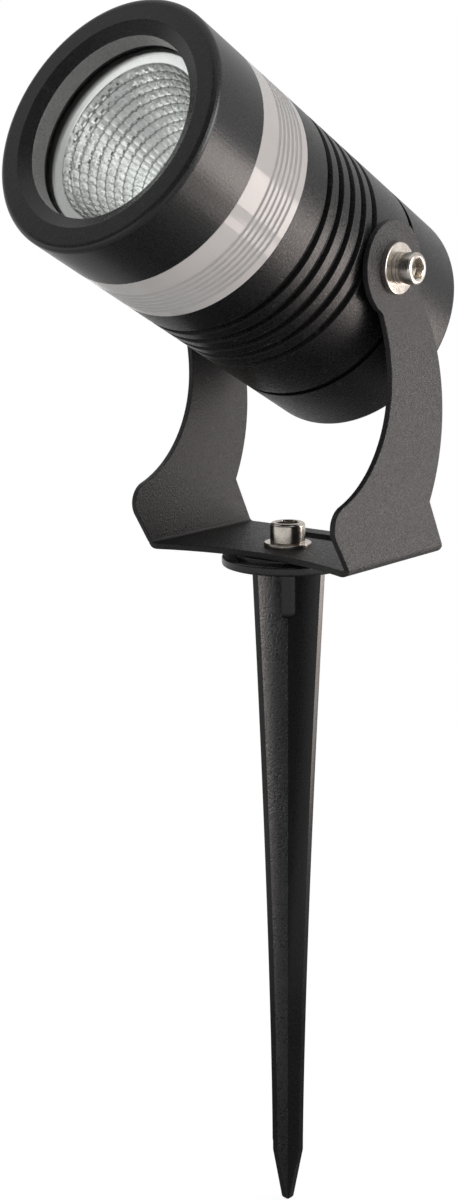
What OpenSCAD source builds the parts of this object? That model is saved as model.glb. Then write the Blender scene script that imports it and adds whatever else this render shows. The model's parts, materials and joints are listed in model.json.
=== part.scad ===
// Garden spike spotlight: a round head in a folded yoke, on a finned ground spike.
// Millimetres. The origin is on the spike's axis at the underside of its flange, where the soil ends.
// +Z is up, the head aims towards -Y, and its tilt axis lies along X.

/* [Head] */
// Outer radius of the bezel, clear ring, housing and rear cap
head_r = 34; // [31:0.5:42]
// Length of the front bezel
bezel_len = 19.4; // [17:0.2:28]
// Length of the clear ring between bezel and housing
glow_len = 19.9; // [14:0.1:28]
// Length of the grooved housing
housing_len = 54.6; // [50:0.2:80]
// Length of the rear cap
cap_len = 24.9; // [18:0.1:36]
// Distance from the tilt axis back to the joint with the rear cap
axis_to_cap = 11.1; // [10.5:0.1:18]
// Height of the tilt axis above the yoke's floor
axis_height = 79.8; // [72:0.2:110]
// Angle of the beam above the horizon as drawn
tilt = 26.4; // [-40:0.2:110]

/* [Housing] */
// Thickness of the shell at its threaded mouths
mouth_wall = 3; // [2.4:0.1:4]
// Thickness of the housing wall round the driver
body_wall = 7.5; // [6.5:0.1:9]
// Depth of the front mouth down to the lamp floor
front_mouth_depth = 8.3; // [7.6:0.1:12]
// Thickness of the lamp floor
floor_t = 5; // [4:0.2:8]
// Radius of the pedestal that carries the lamp chip, as a share of the head's radius
pedestal_share = 0.5; // [0.47:0.01:0.58]
// Height of that pedestal
pedestal_h = 5; // [3:0.1:7]
// Number of cooling grooves round the housing
groove_count = 5; // [1:1:6]
// Distance between two grooves
groove_pitch = 5.6; // [3.5:0.1:6]
// Width of a groove
groove_w = 2.6; // [1:0.1:3]
// Depth of a groove
groove_depth = 1.5; // [0.5:0.1:1.8]
// Distance from the housing's front edge to the first groove
first_groove = 10.9; // [5:0.1:14]
// Depth of the flats that the yoke's friction washers sit on
spot_depth = 0.7; // [0.3:0.1:1.2]
// Radius of the lead hole through the lamp floor
lead_hole_r = 2.5; // [1.5:0.1:3]

/* [Bezel and glass] */
// Width of the flat front face
face_w = 6.2; // [4:0.1:7]
// Distance from the outside in to the light opening
opening_inset = 9.5; // [8.8:0.1:14]
// Depth of the cone
cone_depth = 1.8; // [1:0.1:5]
// Depth of the lip in front of the glass gasket
lip_depth = 6.6; // [5.5:0.1:8]
// Width of the round edge of the bezel's face
bezel_round = 1.4; // [0.3:0.1:2]
// Distance from the outside in to the edge of the glass
glass_inset = 6.6; // [6:0.1:7.4]
// Thickness of the glass
glass_t = 3; // [2:0.1:4]
// Thickness of the black gasket on the glass
gasket_t = 0.8; // [0.5:0.1:1.2]

/* [Reflector and lamp] */
// Distance from the outside in to the reflector's wide end
reflector_inset = 11.8; // [10:0.1:16]
// Radius of the hole in the reflector's narrow end
reflector_hole_r = 7.2; // [6.6:0.1:8]
// Thickness of the reflector
reflector_t = 1; // [0.6:0.1:1.2]
// Number of facets round the reflector
facet_count = 48; // [24:4:60]
// Number of facet rows down the reflector
facet_rows = 12; // [6:1:16]
// Width of the square lamp chip
chip_w = 13.5; // [10:0.1:16]
// Thickness of the chip's ceramic board
chip_t = 1; // [0.6:0.1:1.6]
// Radius of the yellow lamp field
phosphor_r = 5; // [3:0.1:6]
// Height of the chip holder
holder_h = 2.4; // [2:0.1:3]

/* [Clear ring] */
// Thickness of the clear ring's wall
glow_wall = 6.6; // [5:0.1:7.5]
// Length of the spigot that enters the housing
rear_spigot_len = 6; // [4.5:0.1:7]
// Number of fine ribs on the clear ring
rib_count = 6; // [1:1:7]
// Distance between two ribs
rib_pitch = 1.9; // [1.2:0.1:2]
// Depth of the channels between the ribs
rib_depth = 0.45; // [0.2:0.05:0.8]

/* [Rear cap and cable gland] */
// Thickness of the cap's end wall
cap_end_t = 5; // [3:0.1:8]
// Length of the cap's spigot
cap_spigot_len = 7; // [5:0.1:7.4]
// Width of the round edge at the rear
cap_round = 1.6; // [0.5:0.1:3]
// Radius of the gland's thread
gland_r = 6; // [5.6:0.1:7]
// Radius of the hole that the cable passes
cable_hole_r = 3.1; // [2:0.1:3.4]
// Length of the rubber bush round the cable
bush_len = 5; // [4:0.1:8]

/* [Driver] */
// Thickness of the driver's circuit board
board_t = 1.6; // [1:0.1:2.4]
// Length of the spacers that hold the board off the floor
spacer_len = 8; // [4:0.2:12]

/* [Yoke] */
// Thickness of the folded sheet
sheet_t = 1.8; // [1.5:0.1:2.4]
// Gap between the head and each arm
arm_gap = 0.4; // [0.3:0.05:1]
// Inside radius of the two folds
fold_r = 0.9; // [0.6:0.1:2.5]
// Radius of the round eye at the top of an arm
eye_r = 13; // [10.5:0.1:15]
// Reach of the arm's rear bow behind the axis
bow_reach = 25; // [20:0.1:30]
// Reach of the arm's front toe ahead of the axis
toe_reach = 27.1; // [24:0.1:34]
// Radius of the toe
toe_r = 6; // [4:0.1:7]
// Place of the arm's narrowest front edge, ahead of the axis
waist_reach = 0.9; // [0:0.1:4]
// Reach of the floor ahead of the axis
floor_front = 20.2; // [18:0.1:25]
// Reach of the floor behind the axis
floor_rear = 26.4; // [24:0.1:30]
// Depth of the hollow in the floor's front edge
floor_waist = 6.9; // [2:0.1:8]
// Length of the fixing slot behind the base screw
slot_len = 24; // [14:0.5:34]
// Width of the fixing slot
slot_w = 7; // [5:0.1:8]
// Distance of the slot behind the axis
slot_back = 17; // [13.5:0.1:18]

/* [Screws] */
// Radius of the pivot screws' shanks
pivot_r = 2.5; // [2:0.1:3]
// Radius of the pivot screws' heads
pivot_head_r = 4.3; // [4:0.1:5]
// Height of the pivot screws' heads
pivot_head_h = 4.6; // [3:0.1:6]
// Radius of the pivot washers
pivot_washer_r = 7; // [5.5:0.1:8.5]
// Thickness of the pivot washers
pivot_washer_t = 1.6; // [1:0.1:2]
// Thickness of the spring washers
spring_t = 1.1; // [0.8:0.1:1.8]
// Radius of the base screw's shank
base_r = 3; // [2.5:0.1:3.3]
// Radius of the base screw's head
base_head_r = 5.1; // [4.5:0.1:6]
// Height of the base screw's head
base_head_h = 5.8; // [4:0.1:7]
// Radius of the base washer
base_washer_r = 6.9; // [6.2:0.1:8.5]
// Thickness of the base washer
base_washer_t = 1.2; // [0.8:0.1:1.6]
// Length of the base screw
base_screw_len = 16; // [12:0.5:17]

/* [Spike] */
// Radius of the spike's flange
flange_r = 19.2; // [16:0.1:24]
// Thickness of the flange's rim
flange_t = 2.7; // [2:0.1:4]
// Height of the raised seat under the yoke
seat_h = 0.9; // [0.4:0.1:2]
// Radius of the raised seat
seat_r = 14.6; // [10:0.1:16]
// Length of the spike below the flange
spike_len = 204.5; // [140:0.5:280]
// Length of the point at its end
point_len = 19; // [10:0.5:30]
// Reach of a fin from the axis at the flange
fin_top_reach = 13.8; // [10:0.1:16]
// Reach of a fin from the axis where the point begins
fin_end_reach = 5.7; // [4:0.1:8]
// Thickness of a fin
fin_t = 2.2; // [1.6:0.1:3.2]
// Radius of the boss round the threaded insert
boss_r = 4.6; // [4.4:0.1:6]
// Depth of the boss below the flange
boss_depth = 15.8; // [13:0.1:24]
// Turn of the fins about the spike's axis
fin_turn = -6; // [-45:1:45]

/* [Hidden] */
$fn = 64;

// Overrun of every cut past the face that it leaves
over = 1;
// Gap between a spigot or disc and the bore that it fits
fit_gap = 0.1;
// Gap between a screw thread and its hole
thread_gap = 0.05;
// Radial gap between a shank and the hole that turns on it
running_gap = 0.08;

// Heights in the head, along the beam from the tilt axis
cap_joint = -axis_to_cap;
rear_end = cap_joint - cap_len;
glow_rear = cap_joint + housing_len;
glow_front = glow_rear + glow_len;
front_face = glow_front + bezel_len;
lamp_floor = glow_rear - front_mouth_depth;
floor_back = lamp_floor - floor_t;
pedestal_top = lamp_floor + pedestal_h;
holder_top = pedestal_top + holder_h;
gasket_top = front_face - lip_depth;
glass_top = gasket_top - gasket_t;
glass_back = glass_top - glass_t;
flange_back = glass_back - reflector_t;
board_top = floor_back - spacer_len;
board_back = board_top - board_t;

// Radii in the head
mouth_r = head_r - mouth_wall;
face_r = head_r - face_w;
opening_r = head_r - opening_inset;
glass_r = head_r - glass_inset;
reflector_r = head_r - reflector_inset;
pedestal_r = head_r * pedestal_share;
spigot_r = mouth_r - fit_gap;
bore_r = head_r - body_wall;
pocket_r = glass_r + fit_gap;
board_r = bore_r - fit_gap * 8;
spot_x = head_r - spot_depth;
joint_bevel = mouth_wall * 0.3;
rear_mouth_depth = cap_spigot_len + fit_gap * 5;
glow_r = head_r - glow_wall;

// Seal rings: radius of the cord, and the groove that holds it
oring_r = mouth_wall * 0.2;
oring_gap = fit_gap * 0.5;
oring_centre_r = mouth_r - oring_r - oring_gap;
oring_groove_r = oring_centre_r - oring_r - oring_gap;
oring_groove_w = oring_r * 2 + fit_gap * 2;
oring_inset = oring_r * 2.6;

// Heights in the yoke and the spike
floor_base = flange_t + seat_h;
floor_top = floor_base + sheet_t;
axis_z = floor_top + axis_height;
arm_in = head_r + arm_gap;
arm_out = arm_in + sheet_t;

// Screw parts
pivot_under_head = arm_out + pivot_washer_t + spring_t;
base_under_head = floor_top + base_washer_t;
socket_share = 0.6;
socket_depth_share = 0.55;
edge_share = 0.18;
insert_r = base_r + thread_gap + 0.25 * base_r;
insert_len = base_r * 3.8;
insert_gap = fit_gap * 0.5;
board_screw_r = board_t * 0.94;
spacer_r = board_screw_r * 1.8;
spacer_reach = bore_r * 0.68;
holder_screw_r = holder_h * 0.42;
holder_screw_reach = pedestal_r - holder_screw_r * 2.4;

// Radius of a hexagon's corners from the distance across its flats
function corner_r(flats) = flats / 2 / cos(30);
// Point at an angle on a circle
function on_circle(centre, r, angle) = centre + r * [cos(angle), sin(angle)];
// Point where a line from p touches a circle, on the side given by 1 or -1
function touch_point(p, centre, r, side) =
    let (v = p - centre, away = atan2(v[1], v[0]))
    on_circle(centre, r, away + side * acos(r / norm(v)));
// Corner points of a quarter round, from one angle to the next
function round_corner(centre, r, from, to, steps = 5) =
    [for (i = [0:steps]) on_circle(centre, r, from + (to - from) * i / steps)];

// A body of revolution from radius and height pairs
module turned(points) rotate_extrude() polygon(points);

module tube(r_out, r_in, low, high)
    turned([[r_in, low], [r_out, low], [r_out, high], [r_in, high]]);

module hexagon(flats, h) cylinder(r = corner_r(flats), h = h, $fn = 6);

// Puts a piece drawn along +Z into the tilted head
module in_head() translate([0, 0, axis_z]) rotate([90 - tilt, 0, 0]) children();

// Repeats a piece on both ends of the tilt axis, pointing outwards
module both_pivots() in_head() for (side = [-1, 1]) rotate([0, side * 90, 0]) children();

// Seal ring that lies round the head's axis
module seal_ring(at) translate([0, 0, at]) rotate_extrude() translate([oring_centre_r, 0]) circle(oring_r);

// Socket head screw: the underside of its head lies at 0 and the shank points down
module socket_screw(head_radius, head_h, shank_radius, shank_len) {
    edge = head_radius * edge_share;
    flats = head_radius * 2 * socket_share;
    difference() {
        turned(concat(
            [[0, -shank_len], [shank_radius - edge, -shank_len], [shank_radius, edge - shank_len],
                [shank_radius, 0], [head_radius, 0]],
            round_corner([head_radius - edge, head_h - edge], edge, 0, 90, 3),
            [[0, head_h]]));
        translate([0, 0, head_h * (1 - socket_depth_share)]) hexagon(flats, head_h);
    }
}

// Split spring washer, standing on 0
module spring_washer(r_out, r_in) {
    slit = (r_out - r_in) * 0.35;
    difference() {
        tube(r_out, r_in, 0, spring_t);
        translate([0, r_out, 0]) rotate([0, 30, 0])
            cube([slit, r_out * 2, spring_t * 4], center = true);
    }
}

// Spigot with its seal ring groove near the shoulder, as radius and height pairs up one side
function grooved_spigot(shoulder, way) = [
    [head_r, shoulder],
    [spigot_r, shoulder],
    [spigot_r, shoulder + way * oring_inset - way * oring_groove_w / 2],
    [oring_groove_r, shoulder + way * oring_inset - way * oring_groove_w / 2],
    [oring_groove_r, shoulder + way * oring_inset + way * oring_groove_w / 2],
    [spigot_r, shoulder + way * oring_inset + way * oring_groove_w / 2]];

// Grooves along the outside of the housing, as radius and height pairs from front to rear
function housing_grooves() = [
    for (i = [0:groove_count - 1])
        let (at = glow_rear - first_groove - i * groove_pitch)
        for (p = [[0, 1], [groove_depth, 0.6], [groove_depth, -0.6], [0, -1]])
            [head_r - p[0], at + p[1] * groove_w / 2]];

module housing() color("#2a2a2b") in_head() difference() {
    turned(concat(
        [[mouth_r, lamp_floor], [mouth_r, glow_rear], [head_r, glow_rear]],
        housing_grooves(),
        [[head_r, cap_joint + joint_bevel], [head_r - joint_bevel, cap_joint],
            [mouth_r, cap_joint], [mouth_r, cap_joint + rear_mouth_depth],
            [bore_r, cap_joint + rear_mouth_depth], [bore_r, floor_back], [0, floor_back],
            [0, pedestal_top], [pedestal_r, pedestal_top], [pedestal_r, lamp_floor]]));
    translate([0, -bore_r * 0.8, floor_back - over])
        cylinder(r = lead_hole_r, h = floor_t + over * 2);
    for (side = [-1, 1]) {
        rotate([0, side * 90, 0]) {
            translate([0, 0, spot_x]) cylinder(r = pivot_washer_r + fit_gap * 5, h = spot_depth + over);
            translate([0, 0, bore_r - over * 2]) cylinder(r = pivot_r + thread_gap, h = body_wall + over * 2);
        }
        translate([side * spacer_reach, 0, floor_back - over])
            cylinder(r = board_screw_r + thread_gap, h = floor_t * 0.8 + over);
        translate([0, side * holder_screw_reach, pedestal_top - pedestal_h])
            cylinder(r = holder_screw_r + thread_gap, h = pedestal_h + over);
    }
}

module rear_cap() color("#2a2a2b") in_head() difference() {
    turned(concat(
        [[bore_r, rear_end + cap_end_t], [0, rear_end + cap_end_t], [0, rear_end]],
        round_corner([head_r - cap_round, rear_end + cap_round], cap_round, -90, 0),
        [[head_r, cap_joint - joint_bevel], [head_r - joint_bevel, cap_joint]],
        [for (p = grooved_spigot(cap_joint, 1)) if (p[0] < head_r) p],
        [[spigot_r, cap_joint + cap_spigot_len], [bore_r, cap_joint + cap_spigot_len]]));
    translate([0, 0, rear_end - over]) cylinder(r = gland_r + fit_gap, h = cap_end_t + over * 2);
}

module cap_oring() color("#151515") in_head() seal_ring(cap_joint + oring_inset);

// Channels between the ribs of the clear ring, from the housing towards the bezel
rib_start_share = 0.16;
function glow_channels() = [
    for (i = [0:rib_count - 1])
        let (at = glow_rear + glow_len * rib_start_share + rib_pitch * i)
        for (p = [[0, -0.36], [1, -0.2], [1, 0.2], [0, 0.36]])
            [head_r - p[0] * rib_depth, at + p[1] * rib_pitch]];

module glow_ring() color("#dcdcdc", 0.5) in_head() turned(concat(
    [[glow_r, glow_rear - rear_spigot_len], [spigot_r, glow_rear - rear_spigot_len]],
    [for (i = [5:-1:0]) grooved_spigot(glow_rear, -1)[i]],
    glow_channels(),
    grooved_spigot(glow_front, 1),
    [[spigot_r, flange_back], [glow_r, flange_back]]));

module front_oring() color("#151515") in_head() seal_ring(glow_front + oring_inset);

module rear_oring() color("#151515") in_head() seal_ring(glow_rear - oring_inset);

module bezel_ring() color("#232324") in_head() turned(concat(
    [[mouth_r, glow_front], [head_r, glow_front]],
    round_corner([head_r - bezel_round, front_face - bezel_round], bezel_round, 0, 90),
    [[face_r, front_face], [opening_r, front_face - cone_depth], [opening_r, gasket_top],
        [pocket_r, gasket_top], [pocket_r, flange_back + reflector_t * 0.4],
        [mouth_r, flange_back + reflector_t * 0.4]]));

module glass_gasket() color("#111111") in_head()
    tube(glass_r, opening_r + fit_gap, glass_top, gasket_top);

module front_glass() color("#e6f0ee", 0.35) in_head()
    translate([0, 0, glass_back]) cylinder(r = glass_r, h = glass_t);

// Inner radius of the bowl: a share of 0 is the narrow end and 1 the wide end
function bowl_r(share) = sqrt(pow(reflector_hole_r, 2)
    + (pow(reflector_r, 2) - pow(reflector_hole_r, 2)) * share);

// Reflector with flat facets, swept as rings of points round the beam
module reflector() color("#d9dcdd") in_head() {
    depth = flange_back - holder_top;
    outer_steps = 4;
    profile = concat(
        [for (i = [0:facet_rows]) [bowl_r(i / facet_rows), holder_top + (depth + reflector_t) * i / facet_rows]],
        [[glass_r, glass_back], [glass_r, flange_back], [reflector_r + reflector_t, flange_back]],
        [for (i = [outer_steps:-1:0])
            [bowl_r(i / outer_steps) + reflector_t, holder_top + depth * (i / outer_steps) * 0.96]]);
    rings = len(profile);
    points = [for (p = profile) for (k = [0:facet_count - 1])
        [p[0] * cos(360 * k / facet_count), p[0] * sin(360 * k / facet_count), p[1]]];
    faces = [for (j = [0:rings - 1]) for (k = [0:facet_count - 1])
        let (a = j * facet_count, b = ((j + 1) % rings) * facet_count, n = (k + 1) % facet_count)
        [a + k, b + k, b + n, a + n]];
    polyhedron(points, faces);
}

// Places that hold the two screws of the chip holder
module holder_screw_places() for (side = [-1, 1])
    translate([0, side * holder_screw_reach, pedestal_top]) children();

module led_holder() color("#e8e8e4") in_head() difference() {
    translate([0, 0, pedestal_top]) cylinder(r = pedestal_r - fit_gap * 3, h = holder_h);
    translate([0, 0, pedestal_top - over]) cylinder(r = reflector_hole_r - reflector_t * 0.4, h = holder_h + over * 2);
    translate([0, 0, pedestal_top]) cube([chip_w + fit_gap * 2, chip_w + fit_gap * 2, chip_t * 2], center = true);
    holder_screw_places() translate([0, 0, -over]) cylinder(r = holder_screw_r + fit_gap, h = holder_h + over * 2);
}

module led_chip() color("#d8d8d0") in_head()
    translate([-chip_w / 2, -chip_w / 2, pedestal_top]) cube([chip_w, chip_w, chip_t]);

module led_phosphor() color("#e8c82c") in_head()
    translate([0, 0, pedestal_top + chip_t]) cylinder(r = phosphor_r, h = chip_t * 0.6);

module holder_screws() color("#b8b8b8") in_head() holder_screw_places()
    translate([0, 0, holder_h])
        socket_screw(holder_screw_r * 1.8, holder_screw_r * 1.2, holder_screw_r, holder_h + pedestal_h * 0.8);

// Places of the two spacers between lamp floor and driver board
module spacer_places() for (side = [-1, 1]) translate([side * spacer_reach, 0, 0]) children();

module driver_board() color("#1f6b3a") in_head() difference() {
    translate([0, 0, board_back]) cylinder(r = board_r, h = board_t);
    spacer_places() translate([0, 0, board_back - over])
        cylinder(r = board_screw_r + fit_gap, h = board_t + over * 2);
    translate([0, -bore_r * 0.8, board_back - over]) cylinder(r = lead_hole_r, h = board_t + over * 2);
}

module board_spacers() color("#c9b26a") in_head() spacer_places()
    tube(spacer_r, board_screw_r + fit_gap, board_top, floor_back);

module board_screws() color("#b8b8b8") in_head() spacer_places()
    translate([0, 0, board_back]) rotate([180, 0, 0])
        socket_screw(board_screw_r * 1.8, board_screw_r * 1.2, board_screw_r,
            board_t + spacer_len + floor_t * 0.7);

// Parts on the driver board, sized as shares of the board's radius
coil_share = 0.26;
capacitor_share = 0.2;
terminal_share = 0.3;

module driver_coil() color("#8a4a20") in_head() translate([-board_r * 0.36, board_r * 0.42, 0])
    tube(board_r * coil_share, board_r * coil_share * 0.4, board_back - board_r * coil_share, board_back);

module driver_capacitor() color("#20242c") in_head() {
    r = board_r * capacitor_share;
    translate([board_r * 0.4, board_r * 0.42, 0])
        turned([[0, board_back - r * 2.6], [r * 0.9, board_back - r * 2.6], [r, board_back - r * 2.5],
            [r, board_back], [0, board_back]]);
}

module terminal_block() color("#2f6f45") in_head() {
    w = board_r * terminal_share;
    translate([0, -board_r * 0.36, board_back - w]) difference() {
        translate([-w, -w / 2, 0]) cube([w * 2, w, w]);
        for (side = [-1, 1]) translate([side * w / 2, 0, w * 0.4]) rotate([90, 0, 0])
            cylinder(r = w * 0.24, h = w * 2, center = true);
    }
}

// Cable gland: washer, hexagon, clamp thread and bush stack outwards from the rear end, inside the nut
gland_washer_t = gland_r / 6;
gland_hex_t = gland_r * 0.6;
gland_hex_flats = gland_r * 2.6;
gland_thread_len = gland_r * 0.7;
gland_lock_t = gland_r * 0.5;
gland_hole_r = cable_hole_r * 1.15;
gland_hex_low = rear_end - gland_washer_t - gland_hex_t;
gland_stem_low = gland_hex_low - gland_thread_len;
gland_nut_top = gland_hex_low - fit_gap * 5;
bush_low = gland_stem_low - bush_len;
gland_nut_low = bush_low - gland_r * 0.5;

module gland_washer() color("#151515") in_head()
    tube(gland_hex_flats / 2, gland_r + fit_gap, rear_end - gland_washer_t, rear_end);

module gland_body() color("#1c1c1d") in_head() difference() {
    union() {
        translate([0, 0, gland_stem_low])
            cylinder(r = gland_r, h = rear_end + cap_end_t + gland_lock_t * 1.2 - gland_stem_low);
        translate([0, 0, gland_hex_low]) hexagon(gland_hex_flats, gland_hex_t);
    }
    cylinder(r = gland_hole_r, h = (cap_len + gland_hex_t) * 4, center = true);
}

module gland_locknut() color("#c9b26a") in_head() difference() {
    translate([0, 0, rear_end + cap_end_t]) hexagon(gland_hex_flats, gland_lock_t);
    translate([0, 0, rear_end]) cylinder(r = gland_r + thread_gap, h = cap_end_t + gland_lock_t * 2);
}

module gland_bush() color("#2b2b2b") in_head() tube(gland_r, cable_hole_r, bush_low, gland_stem_low);

module gland_nut() color("#1c1c1d") in_head() turned([
    [gland_hole_r, gland_nut_low], [gland_r * 0.95, gland_nut_low],
    [gland_hex_flats / 2, gland_nut_low + gland_r * 0.7], [gland_hex_flats / 2, gland_nut_top],
    [gland_r + thread_gap, gland_nut_top], [gland_r + thread_gap, bush_low], [gland_hole_r, bush_low]]);

// The arm's outline stands on the yoke's floor: first value behind the axis, second above the floor
waist_height_share = 0.607;
bow_height_share = 0.474;
notch_height_share = 0.175;
bow_r_share = 0.652;
upper_hollow_share = 0.533;
lower_hollow_share = 0.401;
bow_r = axis_height * bow_r_share;
upper_hollow_r = axis_height * upper_hollow_share;
lower_hollow_r = axis_height * lower_hollow_share;
waist_height = axis_height * waist_height_share;
bow_centre = [bow_reach - bow_r, axis_height * bow_height_share];
upper_centre = [-waist_reach - upper_hollow_r, waist_height];
lower_centre = [-waist_reach - lower_hollow_r, waist_height];
toe_y = toe_r - toe_reach;
toe_centre = [toe_y, waist_height
    - sqrt(pow(lower_hollow_r + toe_r, 2) - pow(toe_y - lower_centre[0], 2))];
toe_meet = lower_centre + (toe_centre - lower_centre) * lower_hollow_r / (lower_hollow_r + toe_r);
notch_height = axis_height * notch_height_share;
neck_height = axis_height - eye_r * 0.3;
notch = [bow_centre[0] + sqrt(pow(bow_r, 2) - pow(bow_centre[1] - notch_height, 2)), notch_height];
foot_front = [-floor_front, -sheet_t];
foot_rear = [floor_rear, -sheet_t];

// Outline of one arm, with the edge of the floor below it
module arm_outline() {
    translate([0, axis_height]) circle(eye_r);
    translate(toe_centre) circle(toe_r);
    polygon([foot_front, foot_rear, [floor_rear, 0], notch, [0, notch[1]], toe_centre,
        touch_point([-floor_front, 0], toe_centre, toe_r, -1), [-floor_front, 0]]);
    difference() {
        intersection() {
            translate(bow_centre) circle(bow_r);
            translate([toe_meet[0], toe_centre[1]]) square([bow_r * 2, neck_height - toe_centre[1]]);
        }
        difference() {
            translate(upper_centre) circle(upper_hollow_r);
            translate([-bow_r * 4, waist_height - bow_r * 4]) square(bow_r * 4);
        }
        difference() {
            translate(lower_centre) circle(lower_hollow_r);
            translate([-bow_r * 4, waist_height]) square(bow_r * 4);
        }
    }
}

// Section of the folded sheet across the yoke
module folded_section() difference() {
    folded_block(arm_out, 0, fold_r + sheet_t);
    folded_block(arm_in, sheet_t, fold_r);
}

// Block with two round lower corners
module folded_block(half, low, r) {
    top = axis_height + eye_r + sheet_t + over;
    translate([-half, low + r]) square([half * 2, top]);
    translate([r - half, low]) square([(half - r) * 2, top]);
    for (side = [-1, 1]) translate([side * (half - r), low + r]) circle(r);
}

module slot_hole() translate([0, slot_back, floor_base - over]) {
    for (side = [-1, 1]) translate([side * (slot_len - slot_w) / 2, 0, 0])
        cylinder(r = slot_w / 2, h = sheet_t + over * 2);
    translate([(slot_w - slot_len) / 2, -slot_w / 2, 0])
        cube([slot_len - slot_w, slot_w, sheet_t + over * 2]);
}

// Radius of the hollow that narrows the floor's front edge between the arms
waist_half = arm_in - fold_r - sheet_t * 0.3;
floor_hollow_r = (pow(waist_half, 2) + pow(floor_waist, 2)) / (2 * floor_waist);

module yoke_bracket() color("#333231") difference() {
    intersection() {
        translate([0, floor_rear + over, floor_base]) rotate([90, 0, 0])
            linear_extrude(floor_rear + toe_reach + over * 2) folded_section();
        translate([-arm_out - over, 0, floor_top]) rotate([90, 0, 90])
            linear_extrude((arm_out + over) * 2) arm_outline();
    }
    translate([0, floor_waist - floor_front - floor_hollow_r, floor_base - over])
        cylinder(r = floor_hollow_r, h = sheet_t + over * 2, $fn = 128);
    translate([0, 0, floor_base - over]) cylinder(r = base_r + running_gap, h = sheet_t + over * 2);
    slot_hole();
    translate([0, 0, axis_z]) rotate([0, 90, 0])
        cylinder(r = pivot_r + running_gap, h = (arm_out + over) * 2, center = true);
}

module pivot_screws() color("#c4bfb8") both_pivots() translate([0, 0, pivot_under_head])
    socket_screw(pivot_head_r, pivot_head_h, pivot_r, pivot_under_head - bore_r - fit_gap * 2);

module pivot_spring_washers() color("#b9b4ad") both_pivots() translate([0, 0, arm_out + pivot_washer_t])
    spring_washer(pivot_head_r, pivot_r + fit_gap);

module pivot_washers() color("#c4bfb8") both_pivots()
    tube(pivot_washer_r, pivot_r + fit_gap, arm_out, arm_out + pivot_washer_t);

module friction_washers() color("#1a1a1a") both_pivots()
    tube(pivot_washer_r, pivot_r + fit_gap, spot_x, arm_in);

module base_screw() color("#c4bfb8") translate([0, 0, base_under_head])
    socket_screw(base_head_r, base_head_h, base_r, base_screw_len);

module base_washer() color("#c4bfb8")
    tube(base_washer_r, base_r + fit_gap, floor_top, floor_top + base_washer_t);

module spike_insert() color("#c9b26a")
    tube(insert_r, base_r + thread_gap, floor_base - insert_len, floor_base);

// Reach of a fin: a share of 0 is at the flange and 1 where the point begins
taper_power = 1.48;
fin_steps = 12;
function fin_reach(share) = fin_end_reach + (fin_top_reach - fin_end_reach) * pow(1 - share, taper_power);

// Outline of two opposite fins
module fin_outline() {
    blade = spike_len - point_len;
    tip_r = fin_t * 0.7;
    tip_centre = [0, tip_r - spike_len];
    side = [for (i = [0:fin_steps]) [fin_reach(i / fin_steps), -blade * i / fin_steps]];
    half = concat([[0, 0]], side, [touch_point(side[fin_steps], tip_centre, tip_r, -1), tip_centre]);
    for (way = [0, 1]) mirror([way, 0]) polygon(half);
    translate(tip_centre) circle(tip_r);
}

module spike() color("#262627") rotate([0, 0, fin_turn]) {
    edge = flange_t * 0.3;
    boss_round = boss_r * 0.45;
    difference() {
        union() {
            turned([[0, 0], [flange_r - edge, 0], [flange_r, edge], [flange_r, flange_t - edge * 0.6],
                [flange_r - edge * 0.6, flange_t], [seat_r, flange_t], [seat_r, floor_base], [0, floor_base]]);
            turned(concat([[0, edge], [0, -boss_depth]],
                round_corner([boss_r - boss_round, boss_round - boss_depth], boss_round, -90, 0),
                [[boss_r, edge]]));
            for (turn = [0, 90]) rotate([90, 0, turn])
                linear_extrude(fin_t, center = true) fin_outline();
        }
        translate([0, 0, floor_base - insert_len])
            cylinder(r = insert_r + insert_gap, h = insert_len + over);
        translate([0, 0, base_under_head - base_screw_len - fit_gap * 5])
            cylinder(r = base_r + fit_gap, h = base_screw_len);
    }
}

spike();
spike_insert();
base_screw();
base_washer();
yoke_bracket();
pivot_screws();
pivot_spring_washers();
pivot_washers();
friction_washers();
housing();
rear_cap();
cap_oring();
glow_ring();
front_oring();
rear_oring();
bezel_ring();
glass_gasket();
front_glass();
reflector();
led_holder();
led_chip();
led_phosphor();
holder_screws();
driver_board();
board_spacers();
board_screws();
driver_coil();
driver_capacitor();
terminal_block();
gland_washer();
gland_body();
gland_locknut();
gland_bush();
gland_nut();
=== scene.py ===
"""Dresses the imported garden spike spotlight: its finishes, its finer pieces, the studio and the camera."""
import json
from collections import namedtuple
from math import cos, hypot, inf, pi, radians, sin, sqrt, tan

import bmesh
import bpy
from mathutils import Matrix, Vector


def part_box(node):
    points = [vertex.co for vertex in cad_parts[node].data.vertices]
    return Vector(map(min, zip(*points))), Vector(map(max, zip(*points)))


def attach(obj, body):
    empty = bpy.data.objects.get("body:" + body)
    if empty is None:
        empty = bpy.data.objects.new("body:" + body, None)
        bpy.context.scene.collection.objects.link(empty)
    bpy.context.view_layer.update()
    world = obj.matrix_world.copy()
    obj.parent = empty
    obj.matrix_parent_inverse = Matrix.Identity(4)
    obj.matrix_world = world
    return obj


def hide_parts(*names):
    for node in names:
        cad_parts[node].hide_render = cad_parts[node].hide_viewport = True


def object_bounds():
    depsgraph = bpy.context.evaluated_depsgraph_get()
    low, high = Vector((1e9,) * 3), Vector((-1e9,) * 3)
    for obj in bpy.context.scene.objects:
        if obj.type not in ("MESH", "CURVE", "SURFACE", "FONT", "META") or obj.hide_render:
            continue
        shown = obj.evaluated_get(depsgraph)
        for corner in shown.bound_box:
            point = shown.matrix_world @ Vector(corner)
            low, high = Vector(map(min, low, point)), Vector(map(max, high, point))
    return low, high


bl_info = {
    "name": "Garden Spike Spotlight",
    "version": (1, 0, 0),
    "blender": (4, 5, 0),
    "location": "View3D > Sidebar > Spotlight",
    "description": "Builds the visible pieces, finishes and studio of a garden spike spotlight",
    "category": "Object",
}

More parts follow.
